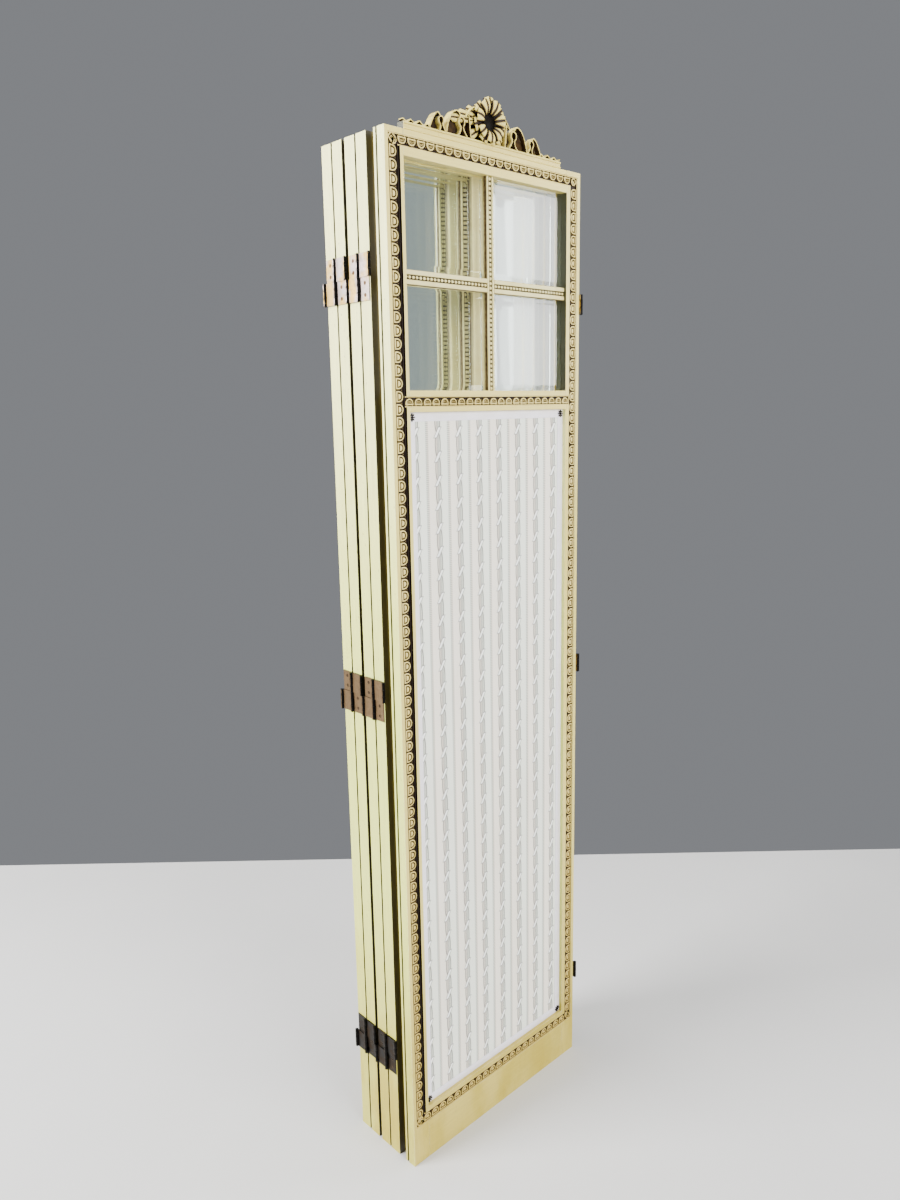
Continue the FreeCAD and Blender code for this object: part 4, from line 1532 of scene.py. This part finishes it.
@dataclass(frozen=True)
class Studio:
    """A plain pale floor, soft lights and the camera."""

    eye: tuple[float, float, float] = (-1.2075, -1.2056, 1.385)
    yaw: float = math.radians(44.07)
    pitch: float = math.radians(-11.62)
    roll: float = math.radians(-1.07)
    lens: float = 27.85
    lamps: tuple[Lamp, ...] = (
        Lamp("left_window", (-2.9, 1.1, 2.3), (0.0, 0.0, 1.0), (1.6, 2.4), 370.0),
        Lamp("front_fill", (-0.1, -3.3, 2.1), (0.0, 0.0, 0.9), (2.4, 2.4), 215.0),
        Lamp("ceiling", (0.2, -0.4, 3.6), (0.0, 0.0, 0.6), (2.4, 2.4), 75.0),
        Lamp("umbrella", (2.05, -1.35, 1.85), (0.0, 0.0, 1.55), (1.0, 1.0), 34.0),
        Lamp("back_fill", (-0.9, 3.1, 2.0), (0.0, 0.0, 1.0), (1.8, 2.0), 60.0),
        Lamp("wall_glow", (1.6, 3.0, 1.6), (0.0, 0.0, 1.5), (3.0, 3.0), 9.0),
    )

    def camera(self) -> None:
        """Creates the camera at its place and makes it the scene's."""
        data = bpy.data.cameras.new("camera")
        data.lens = self.lens
        data.sensor_width = 36.0
        camera = bpy.data.objects.new("camera", data)
        level = math.cos(self.pitch)
        forward = Vector((math.sin(self.yaw) * level, math.cos(self.yaw) * level, math.sin(self.pitch)))
        right = Vector((math.cos(self.yaw), -math.sin(self.yaw), 0.0))
        up = right.cross(forward)
        tilted_right = right * math.cos(self.roll) + up * math.sin(self.roll)
        tilted_up = up * math.cos(self.roll) - right * math.sin(self.roll)
        axes = Matrix((tilted_right, tilted_up, -forward)).transposed()
        camera.matrix_world = Matrix.Translation(self.eye) @ axes.to_4x4()
        bpy.context.scene.collection.objects.link(camera)
        bpy.context.scene.camera = camera

    def floor(self) -> None:
        """Lays a plain pale floor square to the camera."""
        bm = bmesh.new()
        bmesh.ops.create_grid(bm, x_segments=1, y_segments=1, size=0.5)
        bmesh.ops.scale(bm, verts=bm.verts, vec=(7.0, 4.5, 1.0))
        bmesh.ops.translate(bm, verts=bm.verts, vec=(0.0, -1.25, 0.0))
        bmesh.ops.rotate(bm, verts=bm.verts, cent=(0, 0, 0), matrix=Matrix.Rotation(-self.yaw, 3, "Z"))
        floor = bpy.data.objects.new("floor", to_mesh(bm, "floor"))
        material, bench = new_material("pale_floor")
        cloud = bench.noise(bench.place(), 3.0, 3.0, 0.5)
        tone = bench.mix(cloud, paint(196, 195, 194), paint(204, 203, 201))
        bench.surface(Base_Color=tone, Roughness=0.7)
        floor.data.materials.append(material)
        bpy.context.scene.collection.objects.link(floor)

    def set_up(self) -> None:
        """Creates the camera, the floor, the lights and the grey surroundings."""
        self.camera()
        self.floor()
        for lamp in self.lamps:
            lamp.set_up()
        world = bpy.data.worlds.new("grey_room")
        bpy.context.scene.world = world
        world.use_nodes = True
        bench = Bench(world.node_tree)
        backing = bench.add("ShaderNodeBackground", Color=paint(130, 132, 136), Strength=1.0)
        output = world.node_tree.nodes.new("ShaderNodeOutputWorld")
        world.node_tree.links.new(backing.outputs[0], output.inputs["Surface"])


def main() -> None:
    """Builds the studio, the five leaves and the crest."""
    logging.basicConfig(level=logging.INFO, format="%(name)s: %(message)s")
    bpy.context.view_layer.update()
    Studio().set_up()
    places = leaf_places()
    front = places[0]
    cloth = ClothPanel(*own_box("leaf1_fabric_panel", front))
    window = own_box("leaf1_glazing_bars", front)
    shapes = {
        "moulding": CarvedMoulding().shape(),
        "bars": GlazingBars(*window).shape(),
        "front_cloth": cloth.cloth(back=False),
        "back_cloth": cloth.cloth(back=True),
        "ribbon": cloth.ribbon_frame(),
        "board": cloth.board(),
        "rosettes": CornerRosettes(cloth.low, cloth.high).shape(),
    }
    for place in places:
        Leaf(place, shapes, cloth.size()).build()
    Crest(*own_box("crest_base", front)).build(front)


if __name__ == "__main__":
    main()
